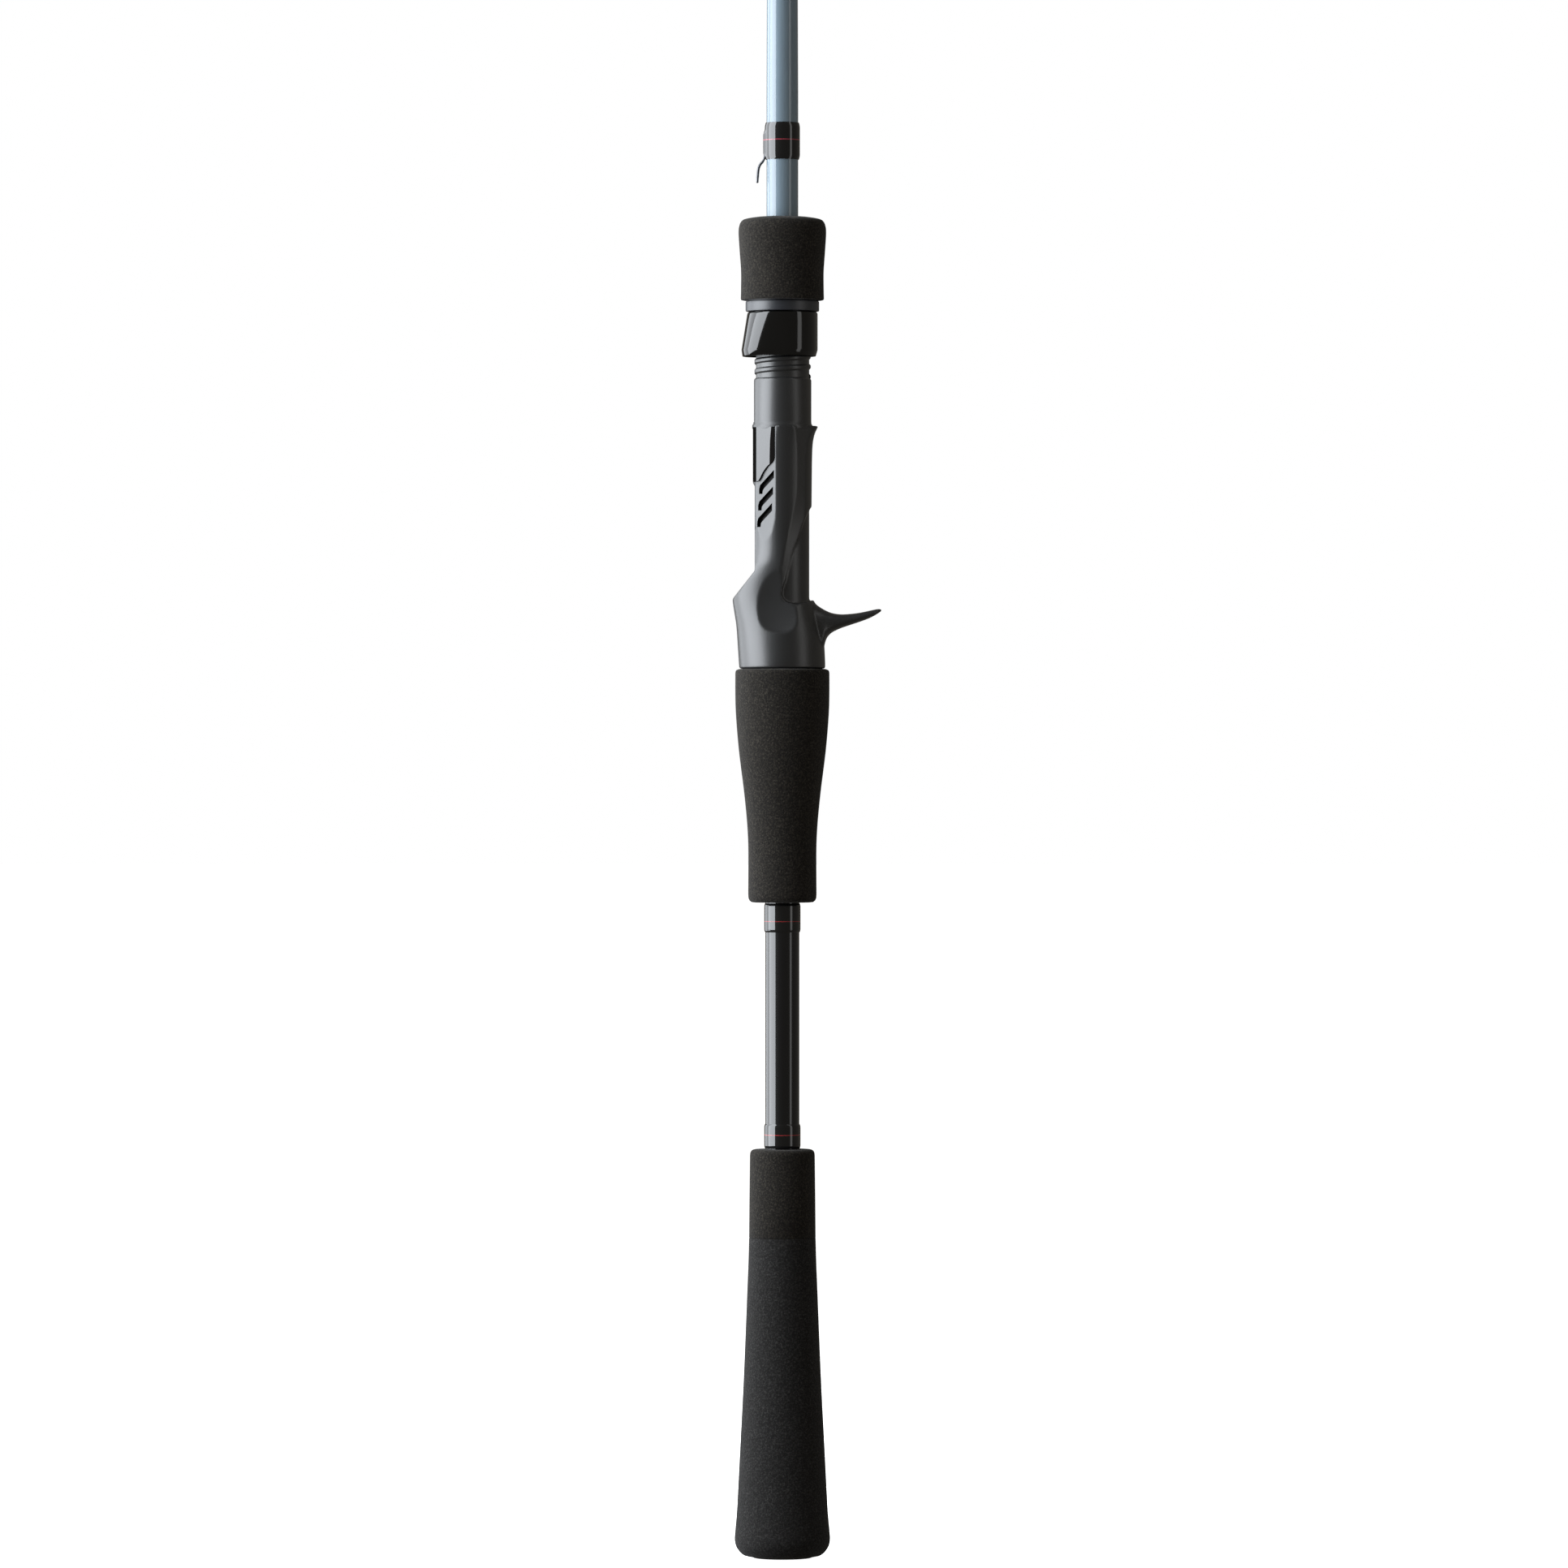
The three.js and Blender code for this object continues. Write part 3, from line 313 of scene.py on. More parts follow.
def sanded_foam(name, shade, speckle, warm):
    """EVA foam sanded on a lathe: matt, almost black, with cut cells that catch the light."""
    material, tree = new_material(name)
    here = add_node(tree, "ShaderNodeTexCoord").outputs["Object"]
    cells = add_node(
        tree, "ShaderNodeTexVoronoi",
        {"Vector": here, "Scale": CELLS})
    fleck = add_node(
        tree, "ShaderNodeTexNoise",
        {"Vector": here, "Scale": FLECKS, "Detail": 5.0, "Roughness": 0.85})
    bright = add_node(
        tree, "ShaderNodeMapRange",
        {"Value": fleck.outputs["Fac"], "From Min": 0.48, "From Max": 0.7})
    cloud = add_node(
        tree, "ShaderNodeTexNoise",
        {"Vector": here, "Scale": CLOUDS})
    ground = add_node(
        tree, "ShaderNodeMix", {0: cloud.outputs["Fac"], 6: srgb(shade), 7: srgb(warm)}, data_type="RGBA")
    colour = add_node(
        tree, "ShaderNodeMix",
        {0: bright.outputs[0], 6: ground.outputs[2], 7: srgb(speckle)}, data_type="RGBA")
    depth = add_node(
        tree, "ShaderNodeMath", {0: cells.outputs["Distance"], 1: fleck.outputs["Fac"]}, operation="ADD")
    relief = add_node(
        tree, "ShaderNodeBump", {"Height": depth.outputs[0], "Strength": 0.55, "Distance": 0.0002})
    skin = add_node(
        tree, "ShaderNodeBsdfPrincipled",
        {"Base Color": colour.outputs[2], "Roughness": 0.92, "Specular IOR Level": 0.18,
         "Sheen Weight": 0.05, "Normal": relief.outputs[0]})
    add_node(tree, "ShaderNodeOutputMaterial", {"Surface": skin.outputs[0]})
    return material


# Dense butt foam: neutral charcoal, finer cells.
butt_foam = sanded_foam("sanded_eva_foam_butt", "#0e0d0d", "#3d3c3b", "#141312")
# Grip foam: warm black with paler flecks.
grip_foam = sanded_foam("sanded_eva_foam_grip", "#0d0b09", "#3f3b34", "#13100d")
# Moulded rubber: matt black with the fine spark-eroded grain of its mould.
moulded_rubber = open_pored("moulded_black_rubber", "#121213", "#1b1b1c", 0.3, 0.7)

cap_low, cap_high = heights("butt_cap")
CAP_RADIUS = reach("butt_cap")
STEM_RADIUS = 4.3
CAP_DEPTH = 3.0
cap_outline = [
    (0, cap_low + 0.35), (2.5, cap_low + 0.35), (3.1, cap_low), (CAP_RADIUS - 0.8, cap_low),
    (CAP_RADIUS - 0.2, cap_low + 0.25), (CAP_RADIUS, cap_low + 0.8), (CAP_RADIUS, cap_low + CAP_DEPTH),
    (STEM_RADIUS, cap_low + CAP_DEPTH), (STEM_RADIUS, cap_high - 0.6), (STEM_RADIUS - 0.6, cap_high),
    (0, cap_high),
]
new_piece("butt_plug", turn(cap_outline), moulded_rubber, "rod", ["butt_cap"])


def raised(base, outline):
    """An outline of (radius, height) moved up by base."""
    return [(r, base + z) for r, z in outline]


def foam_grip(name, node, outline, bore, material, body="rod"):
    """A turned foam grip: outline from the bottom corner to the top corner, over a bore line."""
    grip = new_piece(name, turn(outline + bore, 128, closed=True), material, body, [node])
    return grip


GRIP_BORE = TUBE_RADIUS + 0.3
grip_low, grip_high = heights("butt_grip")
BUTT_FLARE = reach("butt_grip") / 17.7
butt_line = curve_through(raised(grip_low, [
    (12.4, 0), (14.4, 0.5), (16.0, 1.9), (17.2, 3.9), (17.66, 6.4), (17.4, 10), (16.8, 17.2), (16.05, 31.5),
    (15.3, 46), (14.55, 60.5), (13.9, 75), (13.05, 96.5), (12.55, 109),
]) + [(12.33, grip_high - 0.4)]) + raised(grip_high, [(12.31, -0.05), (12.24, 0.1), (11.8, 0.1)])
foam_grip(
    "butt_grip_foam", "butt_grip", [(r * BUTT_FLARE, z) for r, z in butt_line],
    [(GRIP_BORE, grip_high), (GRIP_BORE, grip_low + 2.8), (CAP_RADIUS + 0.3, grip_low + 2.8),
     (CAP_RADIUS + 0.3, grip_low)],
    butt_foam,
)
collar_low, collar_high = heights("butt_collar")
COLLAR = reach("butt_collar")
collar_line = [
    (COLLAR - 0.5, collar_low - 0.1), (COLLAR - 0.08, collar_low - 0.1), (COLLAR, collar_low + 0.05),
    (COLLAR - 0.1, collar_low + 12), (COLLAR - 0.3, collar_high - 2.2), (COLLAR - 0.42, collar_high - 1.3),
    (COLLAR - 0.75, collar_high - 0.6), (COLLAR - 1.3, collar_high - 0.18), (COLLAR - 2.0, collar_high),
]
foam_grip(
    "butt_collar_foam", "butt_collar", collar_line,
    [(GRIP_BORE, collar_high), (GRIP_BORE, collar_low)], grip_foam,
)

# ---- Trim wraps on the handle tube ----
# Fine nylon thread wound round the tube and flooded with clear epoxy that is cured turning, so it levels to
# a glossy dome. A single turn of red metallic thread is inlaid in the black.
THREAD_WIDTH = 0.25


def wound_thread(name, pinstripes, pinstripe="#8a2529"):
    """Black winding thread under clear epoxy, with red turns at the given heights in millimetres."""
    material, tree = new_material(name)
    here = add_node(tree, "ShaderNodeTexCoord").outputs["Object"]
    along = add_node(tree, "ShaderNodeSeparateXYZ", {0: here})
    turns = add_node(
        tree, "ShaderNodeMath", {0: along.outputs["Z"], 1: 2 * math.pi * 1000 / THREAD_WIDTH},
        operation="MULTIPLY")
    rib = add_node(tree, "ShaderNodeMath", {0: turns.outputs[0]}, operation="SINE")
    # The colour follows the rib: darker in the grooves between turns and lighter on the crests, which is
    # painted shade.
    shade = add_node(
        tree, "ShaderNodeMapRange",
        {"Value": rib.outputs[0], "From Min": -1.0})
    colour = add_node(
        tree, "ShaderNodeMix", {0: shade.outputs[0], 6: srgb("#030303"), 7: srgb("#0b0b0c")},
        data_type="RGBA").outputs[2]
    for height, half in pinstripes:
        inside = add_node(
            tree, "ShaderNodeMath", {0: along.outputs["Z"], 1: height * MM, 2: half * MM},
            operation="COMPARE")
        colour = add_node(
            tree, "ShaderNodeMix", {0: inside.outputs[0], 6: colour, 7: srgb(pinstripe)},
            data_type="RGBA").outputs[2]
    relief = add_node(
        tree, "ShaderNodeBump", {"Height": rib.outputs[0], "Strength": 0.12, "Distance": 0.00003})
    skin = add_node(
        tree, "ShaderNodeBsdfPrincipled",
        {"Base Color": colour, "Roughness": 0.5, "Specular IOR Level": 0.05,
         "Normal": relief.outputs[0], "Coat Weight": 1.0, "Coat Roughness": 0.02, "Coat IOR": 1.55})
    add_node(tree, "ShaderNodeOutputMaterial", {"Surface": skin.outputs[0]})
    return material


def domed_ring(z0, z1, inner, outer, toe=0.9, steps=96):
    """A closed ring with levelled, feathered ends, as cured epoxy has."""
    rise = outer - inner
    line = curve_through([
        (inner + 0.06, z0), (inner + rise * 0.62, z0 + toe * 0.35), (outer - rise * 0.08, z0 + toe),
        (outer, z0 + toe * 2), (outer, z1 - toe * 2), (outer - rise * 0.08, z1 - toe),
        (inner + rise * 0.62, z1 - toe * 0.35), (inner + 0.06, z1),
    ], 4)
    return turn(line + [(inner, z1), (inner, z0)], steps, closed=True)


LOWER_STRIPE = heights("lower_trim_wrap")[0] + 5.0
UPPER_STRIPE = heights("upper_trim_wrap")[0] + 4.0
trim_thread = wound_thread(
    "black_thread_red_inlay_epoxy", [(LOWER_STRIPE, 0.15), (UPPER_STRIPE, 0.12)])
for name, node in (("lower_trim_winding", "lower_trim_wrap"), ("upper_trim_winding", "upper_trim_wrap")):
    low, high = heights(node)
    new_piece(
        name, domed_ring(low, high, TUBE_RADIUS + 0.02, reach(node) - 0.1), trim_thread, "rod",
        [node])

# ---- Rear grip ----
# Warm-black EVA foam, slim behind and swelling to meet the reel seat, glued on the handle tube.
rear_low, rear_high = heights("rear_grip")
REAR_FLARE = reach("rear_grip") / 17.4
rear_line = raised(rear_low, [(10.2, 0), (11.4, 0.15)]) + curve_through(raised(rear_low, [
    (12.2, 0.8), (12.62, 2.4), (12.62, 8), (12.6, 20), (12.95, 28), (13.55, 35), (14.3, 42), (15.2, 49),
    (16.05, 56), (16.75, 63.5), (17.25, 71), (17.4, 77),
]) + [(17.4, rear_high - 1.4)]) + raised(rear_high, [(17.3, -0.7), (17.0, -0.2), (16.5, 0), (15.9, 0.2)])
foam_grip(
    "rear_grip_foam", "rear_grip", [(r * REAR_FLARE, z) for r, z in rear_line],
    [(GRIP_BORE, rear_high), (GRIP_BORE, rear_low)], grip_foam,
)

# ---- Reel seat: fixed hood, trigger, shell, barrel and screw thread ----
# One graphite-filled nylon moulding, satin from its mould. The shell carries the fixed hood and the trigger
# and is cut open on both flanks; the barrel runs on with a keyway and a coarse right-hand thread.


def section(z, left, right, half, count=96, power=2.0):
    """A level oval with its own reach to -X, +X and each side; a power over 2 squares its -X half."""
    ring = []
    for i in range(count):
        a = 2 * math.pi * (i + 0.5) / count
        c, s = math.cos(a), math.sin(a)
        if c > 0:
            ring.append((c * right, s * half, z))
        else:
            ring.append((-left * abs(c) ** (2 / power), math.copysign(half * abs(s) ** (2 / power), s), z))
    return ring


def loft(rings):
    """A closed skin over rings of equal count, in millimetres, capped at both ends."""
    bm = bmesh.new()
    loops = [[bm.verts.new([c * MM for c in p]) for p in ring] for ring in rings]
    edges = [[bm.edges.new((ring[i - 1], ring[i])) for i in range(len(ring))] for ring in loops]
    for low, high in zip(edges, edges[1:]):
        bmesh.ops.bridge_loops(bm, edges=low + high)
    bm.faces.new(loops[0])
    bm.faces.new(loops[-1])
    bmesh.ops.recalc_face_normals(bm, faces=bm.faces)
    return bm


def prism(outline, y0, y1):
    """A closed prism across Y over an (x, z) outline in millimetres."""
    return loft([[(x, y, z) for x, z in outline] for y in (y0, y1)])


def shaped(base, steps):
    """Runs modifiers over a bmesh; a step is a modifier kind, its settings and a tool."""
    scratch = []

    def stand_in(bm):
        mesh = bpy.data.meshes.new("scratch")
        bm.to_mesh(mesh)
        bm.free()
        thing = bpy.data.objects.new("scratch", mesh)
        scene.collection.objects.link(thing)
        scratch.append(thing)
        return thing

    body = stand_in(base)
    for kind, settings, tool in steps:
        modifier = body.modifiers.new(kind.lower(), kind)
        for key, value in settings.items():
            setattr(modifier, key, value)
        if tool is not None:
            modifier.object = stand_in(tool)
    bpy.context.view_layer.update()
    done = body.evaluated_get(bpy.context.evaluated_depsgraph_get())
    result = bmesh.new()
    result.from_mesh(done.to_mesh())
    done.to_mesh_clear()
    for thing in scratch:
        mesh = thing.data
        bpy.data.objects.remove(thing)
        bpy.data.meshes.remove(mesh)
    return result


def add(tool):
    """A step for shaped() that joins the tool to the piece."""
    return ("BOOLEAN", {"solver": "MANIFOLD", "operation": "UNION"}, tool)


def cut(tool):
    """A step for shaped() that takes the tool away."""
    return ("BOOLEAN", {"solver": "MANIFOLD", "operation": "DIFFERENCE"}, tool)


def keep(tool):
    """A step for shaped() that keeps what lies inside the tool."""
    return ("BOOLEAN", {"solver": "MANIFOLD", "operation": "INTERSECT"}, tool)


def cylinder(radius, z0, z1, steps=96):
    """A closed cylinder on the rod's axis."""
    return turn([(0, z0), (radius, z0), (radius, z1), (0, z1)], steps)


seat_low, seat_high = heights("seat_body")
SHOULDER = 418.2
BARREL_RADIUS = 10.7
SHELL_RADIUS = BARREL_RADIUS + 0.5
SEAT_BORE = 8.0
BED = BARREL_RADIUS - 0.5
INSERT_BED = BARREL_RADIUS + 0.2
FACET = BARREL_RADIUS - 0.45
seat_stations = [
    (seat_low, 15.6, 15.5, 15.6), (seat_low + 0.5, 15.95, 15.85, 15.95), (333, 16.25, 15.75, 15.9),
    (338.5, 16.6, 15.4, 15.35), (344.6, 17.05, 14.4, 14.4), (349.5, 17.8, 12.9, 13.3),
    (354.2, 18.45, 11.6, 12.4), (358, 18.2, 11.0, 11.9), (362, 17.0, 10.85, 11.55),
    (366, 14.5, 10.8, 11.3), (371, 11.2, 10.8, 11.2), (385, 11.2, 10.8, 11.2),
    (398, 11.2, 10.9, 11.2), (406, 11.2, 11.0, 11.2), (411, 11.2, 11.2, 11.22),
    (414.5, 11.2, 11.75, 11.25), (417.0, 11.2, 12.7, 11.35), (SHOULDER, 11.2, 13.4, 11.5),
]
trigger_stations = [
    (6, 334.5, 356, 6.6), (9.5, 333.5, 355, 7.0), (11.7, 333.6, 353.1, 7.2), (13.1, 334, 351.8, 7.1),
    (14.5, 334.8, 350.9, 6.9), (15.4, 336.4, 350.35, 6.7), (15.9, 338.4, 350.1, 6.5),
    (16.5, 339.9, 349.8, 6.3), (17.4, 341.1, 349.4, 6.1), (18.7, 342.1, 349, 5.8), (20.5, 343, 348.7, 5.5),
    (22.5, 343.8, 348.6, 5.2), (25.5, 344.8, 348.8, 4.9), (28.5, 345.8, 349.2, 4.7),
    (31.5, 346.9, 349.8, 4.4), (34, 348.1, 350.35, 3.9), (35.6, 349.1, 350.6, 3.2),
    (36.6, 349.8, 350.45, 2.2),
]
BLADE_POINTS = 48


def blade_ring(x, low, high, half):
    """An upright rounded section of the trigger at a reach of x."""
    ring = []
    for i in range(BLADE_POINTS):
        a = 2 * math.pi * (i + 0.5) / BLADE_POINTS
        c, s = math.cos(a), math.sin(a)
        y = half * math.copysign(abs(c) ** 0.75, c)
        z = (low + high) / 2 + (high - low) / 2 * math.copysign(abs(s) ** 0.85, s)
        ring.append((x, y, z))
    return ring


# How far the facets' planes move out towards the mouth, where they fade into the full shell.
FACET_FADE = [(356, 8.5), (360, 6), (364, 3.9), (370, 2), (375, 0.95), (379, 0.45), (384, 0.1), (388, 0)]


def outside_plane(side, turn_away, depth, fade):
    """The space beyond a plane that runs up the shell on side -1 or +1.

    It faces turn_away degrees round from that side towards +X, and each station of fade moves it out, and may
    turn it further.
    """
    rings = []
    for z, extra, *more in fade + [(SHOULDER + 1, 0)]:
        near = depth + extra
        way = math.radians(turn_away + (more[0] if more else 0))
        toward = (math.sin(way), -math.cos(way))
        corners = []
        for d, t in [(near, t) for t in range(-16, 17, 2)] + [(near + 24, 16), (near + 24, -16)]:
            x = toward[0] * d - toward[1] * t
            y = toward[1] * d + toward[0] * t
            corners.append((x, y * -side, z))
        rings.append(corners)
    return loft(rings)


FACET_WAY = -36.87
CREASE_WAY = 41.5
CREASE_FADE = curve_through([
    (351, 1.8, -24), (355, 0.1, -22.5), (359, -0.62, -20.5), (364, -0.8, -18.5), (370, -0.76, -14.5),
    (376, -0.6, -10.5), (384, -0.3, -5.5), (392, -0.06, -1.5), (399, 0, 0), (406, 0, 0),
], 8)
BED_MOUTH = [
    (-18.7, 353.9), (-BED, 364.6), (-BED, 396.3), (-INSERT_BED, 397), (-INSERT_BED, SHOULDER + 0.3),
    (-40, SHOULDER + 0.3), (-40, 353.9),
]


def rough_shell():
    """The shell before its openings: the lofted skin, with the bed, mouth and flank facets cut."""
    rows = curve_through(seat_stations, 4)
    skin = loft([section(*row) for row in rows])
    cuts = [cut(prism(BED_MOUTH, -20, 20))]
    for side in (-1, 1):
        cuts.append(cut(outside_plane(side, FACET_WAY, FACET, FACET_FADE)))
        cuts.append(cut(outside_plane(side, CREASE_WAY, SHELL_RADIUS - 0.3, CREASE_FADE)))
    return shaped(skin, cuts)


HOLLOW_WAY = 0.07
HOLLOW_SIZE = (26.0, 4.8, 17.0)
HOLLOW_PLACE = (1.0, 15.75, 358.2)


def thumb_hollow(side):
    """An ellipsoid that dishes the flank of the fixed hood."""
    bm = bmesh.new()
    bmesh.ops.create_uvsphere(bm, u_segments=64, v_segments=32, radius=MM)
    bmesh.ops.scale(bm, vec=HOLLOW_SIZE, verts=bm.verts)
    x, y, z = HOLLOW_PLACE
    bmesh.ops.translate(bm, vec=(x * MM, side * y * MM, z * MM), verts=bm.verts)
    bmesh.ops.rotate(bm, matrix=Matrix.Rotation(side * HOLLOW_WAY, 3, "Z"), verts=bm.verts)
    return bm


WINDOW = curve_through([
    (10.4, 388), (8.1, 383), (5.9, 376.6), (3.9, 372), (2.6, 367.6), (1.4, 362.5), (0.1, 358.4),
    (-0.2, 355.8), (0.7, 353.7), (2.9, 352.6), (5.9, 352.3), (9.2, 353.0), (10.9, 353.8),
], 5) + [(24, 353.8), (24, 388)]
WINDOW_FLOOR = BARREL_RADIUS - 0.75


def window_tool():
    """The openings on both flanks, which leave a core standing round the bore."""
    return shaped(prism(WINDOW, -20, 20), [cut(cylinder(WINDOW_FLOOR, 340, 400))])


VENT = [
    (-3.1, 401.7), (-3.1, 398.8), (-6.8, 394.9), (-7.2, 394.2), (-7.35, 392.9), (-8.6, 392.9), (-8.6, 394.8),
    (-8.2, 396.2),
]
VENT_SPACING = 6.1
VENT_DEPTH = 1.8
INSERT_THICKNESS = 0.9


def insert_outline(extra):
    """The outline of the gloss insert, grown by extra."""
    lower = curve_through([
        (-2.9 + extra, 406.4), (-3.4 + extra, 405.0 - extra), (-5.5, 403.2 - extra), (-7.2, 400.9 - extra),
        (-8.2, 398.9 - extra), (-9.0, 397.6 - extra),
    ], 4)
    return [(-2.9 + extra, SHOULDER - 0.6 + extra)] + lower + [
        (-20, 397.6 - extra), (-20, SHOULDER - 0.6 + extra)]


def insert_zone(extra, depth):
    """The cover's own section, grown by extra and reaching depth into the shell, within its outline."""
    crown = [(math.radians(t), SHELL_RADIUS + extra) for t in (13.0, 16.5, 20.5, 24.8)]
    outer = [(-math.sin(t) * r, math.cos(t) * r) for t, r in crown]
    outer += [(-9.5, 6.75 + extra), (-9.75, 6.62 + extra), (-INSERT_BED - extra, 6.55 + extra)]
    inner = [(-INSERT_BED + depth, 5.2 - extra), (-9.3 + depth * 0.6, 5.6 - extra)] + [
        (-math.sin(t) * (r - depth), math.cos(t) * (r - depth)) for t, r in reversed(crown)]
    half = outer + inner
    rings = {side: [[(x, y * side, z) for x, y in half] for z in (388, SHOULDER + 1)] for side in (-1, 1)}
    bed = [
        [(-INSERT_BED - extra, -6.55, z), (-INSERT_BED - extra, 6.55, z), (-INSERT_BED + depth, 5.6, z),
         (-INSERT_BED + depth, -5.6, z)] for z in (388, SHOULDER + 1)
    ]
    return shaped(loft(bed), [
        add(loft(rings[-1])), add(loft(rings[1])),
        keep(prism(insert_outline(extra), -20, 20)),
    ])


def foot_pocket():
    """The arched pocket in the fixed hood that takes the rear of a reel's foot."""
    rings = []
    for z, top in ((344, 15.8), (349, 16.4), (354.2, 16.8), (362, 17.0), (372, 17.2)):
        ring = []
        for i in range(25):
            a = math.pi * i / 24
            y = 6.9 * math.copysign(abs(math.cos(a)) ** 0.8, math.cos(a))
            ring.append((-(BED + 0.1 + (top - BED - 0.1) * math.sin(a) ** 0.8), y, z))
        rings.append(ring)
    return loft(rings)


VOXEL = 0.42
blocks = [add(loft([blade_ring(*row) for row in curve_through(trigger_stations, 3)]))]
blocks += [cut(thumb_hollow(side)) for side in (-1, 1)]
blocks.append(cut(window_tool()))
moulding = shaped(rough_shell(), blocks + [
    ("REMESH", {"mode": "VOXEL", "voxel_size": VOXEL * MM}, None),
    ("SMOOTH", {"factor": 0.5, "iterations": 5}, None),
    ("DECIMATE", {"ratio": 0.45}, None),
])

THREAD_PITCH = 3.7
THREAD_START = 435.6
THREAD_CREST = BARREL_RADIUS - 0.2
THREAD_ROOT = THREAD_CREST - 0.55
TURN_STEPS = 72


def screw_ridge(root, crest, root_width, crest_width, z0, turns):
    """A helical ridge from its root to its crest with a rounded edge, swept about the axis and capped."""
    bm = bmesh.new()
    way = math.copysign(1, crest - root)
    half = crest_width / 2
    rise = [(root, root_width / 2), (crest - way * 0.14, half + 0.06), (crest - way * 0.03, half - 0.12),
            (crest, half * 0.5)]
    profile = [(r, -z) for r, z in rise] + [(r, z) for r, z in reversed(rise)]
    verts = [bm.verts.new((r * MM, 0, (z0 + z) * MM)) for r, z in profile]
    edges = [bm.edges.new((verts[i - 1], verts[i])) for i in range(len(verts))]
    steps = round(turns * TURN_STEPS)
    swept = bmesh.ops.spin(
        bm, geom=verts + edges, axis=(0, 0, 1), dvec=(0, 0, turns * THREAD_PITCH / steps * MM),
        angle=turns * 2 * math.pi, steps=steps)
    ends = [edges, [g for g in swept["geom_last"] if isinstance(g, bmesh.types.BMEdge)]]
    for end in ends:
        bmesh.ops.contextual_create(bm, geom=end)
    bmesh.ops.recalc_face_normals(bm, faces=bm.faces)
    return bm


barrel = turn([
    (SEAT_BORE - 0.4, SHOULDER - 1), (BARREL_RADIUS + 0.45, SHOULDER - 1),
    (BARREL_RADIUS + 0.45, SHOULDER + 0.25), (BARREL_RADIUS + 0.1, SHOULDER + 0.7),
    (BARREL_RADIUS, SHOULDER + 1.6), (BARREL_RADIUS, THREAD_START - 0.5), (BARREL_RADIUS - 0.3, THREAD_START),
    (THREAD_ROOT, THREAD_START + 0.35), (THREAD_ROOT, seat_high - 0.6),
    (THREAD_ROOT - 0.5, seat_high), (SEAT_BORE - 0.4, seat_high),
], 96, closed=True)
thread_turns = (seat_high - THREAD_START - 3.2) / THREAD_PITCH
keyway = loft([
    [(-20, -2, z), (-20, 2, z), (-(THREAD_ROOT - 0.65), 2, z), (-(THREAD_ROOT - 0.65), -2, z)]
    for z in (SHOULDER + 1.4, seat_high + 1)
])
moulding = shaped(moulding, [
    cut(foot_pocket()),
    cut(insert_zone(0.22, INSERT_THICKNESS + 0.2)),
    add(barrel),
    add(screw_ridge(
        THREAD_ROOT - 0.1, THREAD_CREST, 2.4, 1.2, THREAD_START + 0.8, thread_turns)),
    cut(cylinder(SEAT_BORE, seat_low - 1, seat_high + 1)),
    cut(keyway),
])
for side in (-1, 1):
    for row in range(3):
        outline = [(x - 0.35 * row, z - VENT_SPACING * row) for x, z in VENT]
        vent = shaped(prism(outline, *((-20, -2) if side < 0 else (2, 20))), [
            keep(outside_plane(side, FACET_WAY, FACET - VENT_DEPTH, [(371, 0)])),
        ])
        moulding = shaped(moulding, [cut(vent)])


def satin_moulding(name, shade, roughness, coat):
    """Injection-moulded nylon: satin, with the fine even grain that its mould leaves."""
    material, tree = new_material(name)
    here = add_node(tree, "ShaderNodeTexCoord").outputs["Object"]
    grain = add_node(
        tree, "ShaderNodeTexNoise", {"Vector": here, "Scale": 5200.0})
    flow = add_node(
        tree, "ShaderNodeTexNoise", {"Vector": here, "Scale": 70.0, "Detail": 3.0})
    deep = tuple(c * 0.8 for c in srgb(shade)[:3]) + (1.0,)
    colour = add_node(
        tree, "ShaderNodeMix", {0: flow.outputs["Fac"], 6: deep, 7: srgb(shade)}, data_type="RGBA")
    rough = add_node(
        tree, "ShaderNodeMapRange",
        {"Value": flow.outputs["Fac"], "To Min": roughness - 0.04, "To Max": roughness + 0.04})
    relief = add_node(
        tree, "ShaderNodeBump", {"Height": grain.outputs["Fac"], "Strength": 0.1, "Distance": 0.00004})
    skin = add_node(
        tree, "ShaderNodeBsdfPrincipled",
        {"Base Color": colour.outputs[2], "Roughness": rough.outputs[0], "IOR": 1.55,
         "Coat Weight": coat, "Coat Roughness": 0.35, "Normal": relief.outputs[0]})
    add_node(tree, "ShaderNodeOutputMaterial", {"Surface": skin.outputs[0]})
    return material


# Graphite-filled nylon: dark grey, satin, brightened by the graphite at grazing angles.
graphite_nylon = satin_moulding("moulded_graphite_nylon", "#1b1c1d", 0.38, 0.2)
# The vents' floors get a near-black matt material: painted shade, standing in for the shadow deep inside the
# vents.
vent_painted_shade = satin_moulding("vent_floor_painted_shade", "#060606", 0.8, 0.0)
# Faces sunk below the facet inside the vents take the painted-shade material.
facet_x, facet_y = math.sin(math.radians(FACET_WAY)), math.cos(math.radians(FACET_WAY))
for face in moulding.faces:
    x, y, z = face.calc_center_median() / MM
    deep = facet_x * x + facet_y * abs(y) < FACET - 0.3
    face.material_index = int(deep and x < -2.5 and abs(y) > 4.5 and 379.5 < z < 402.5)
shell = new_piece(
    "seat_shell", moulding, graphite_nylon, "rod", ["seat_body"], sharp=38)
shell.data.materials.append(vent_painted_shade)

# ---- Seat insert ----
# A piano-black cover, moulded and polished, that clips round the bed and both flanks behind the thread.
rough_insert = shaped(insert_zone(0, INSERT_THICKNESS), [
    ("BEVEL", {"width": 0.18 * MM, "segments": 2, "limit_method": "ANGLE", "angle_limit": 0.6}, None),
])


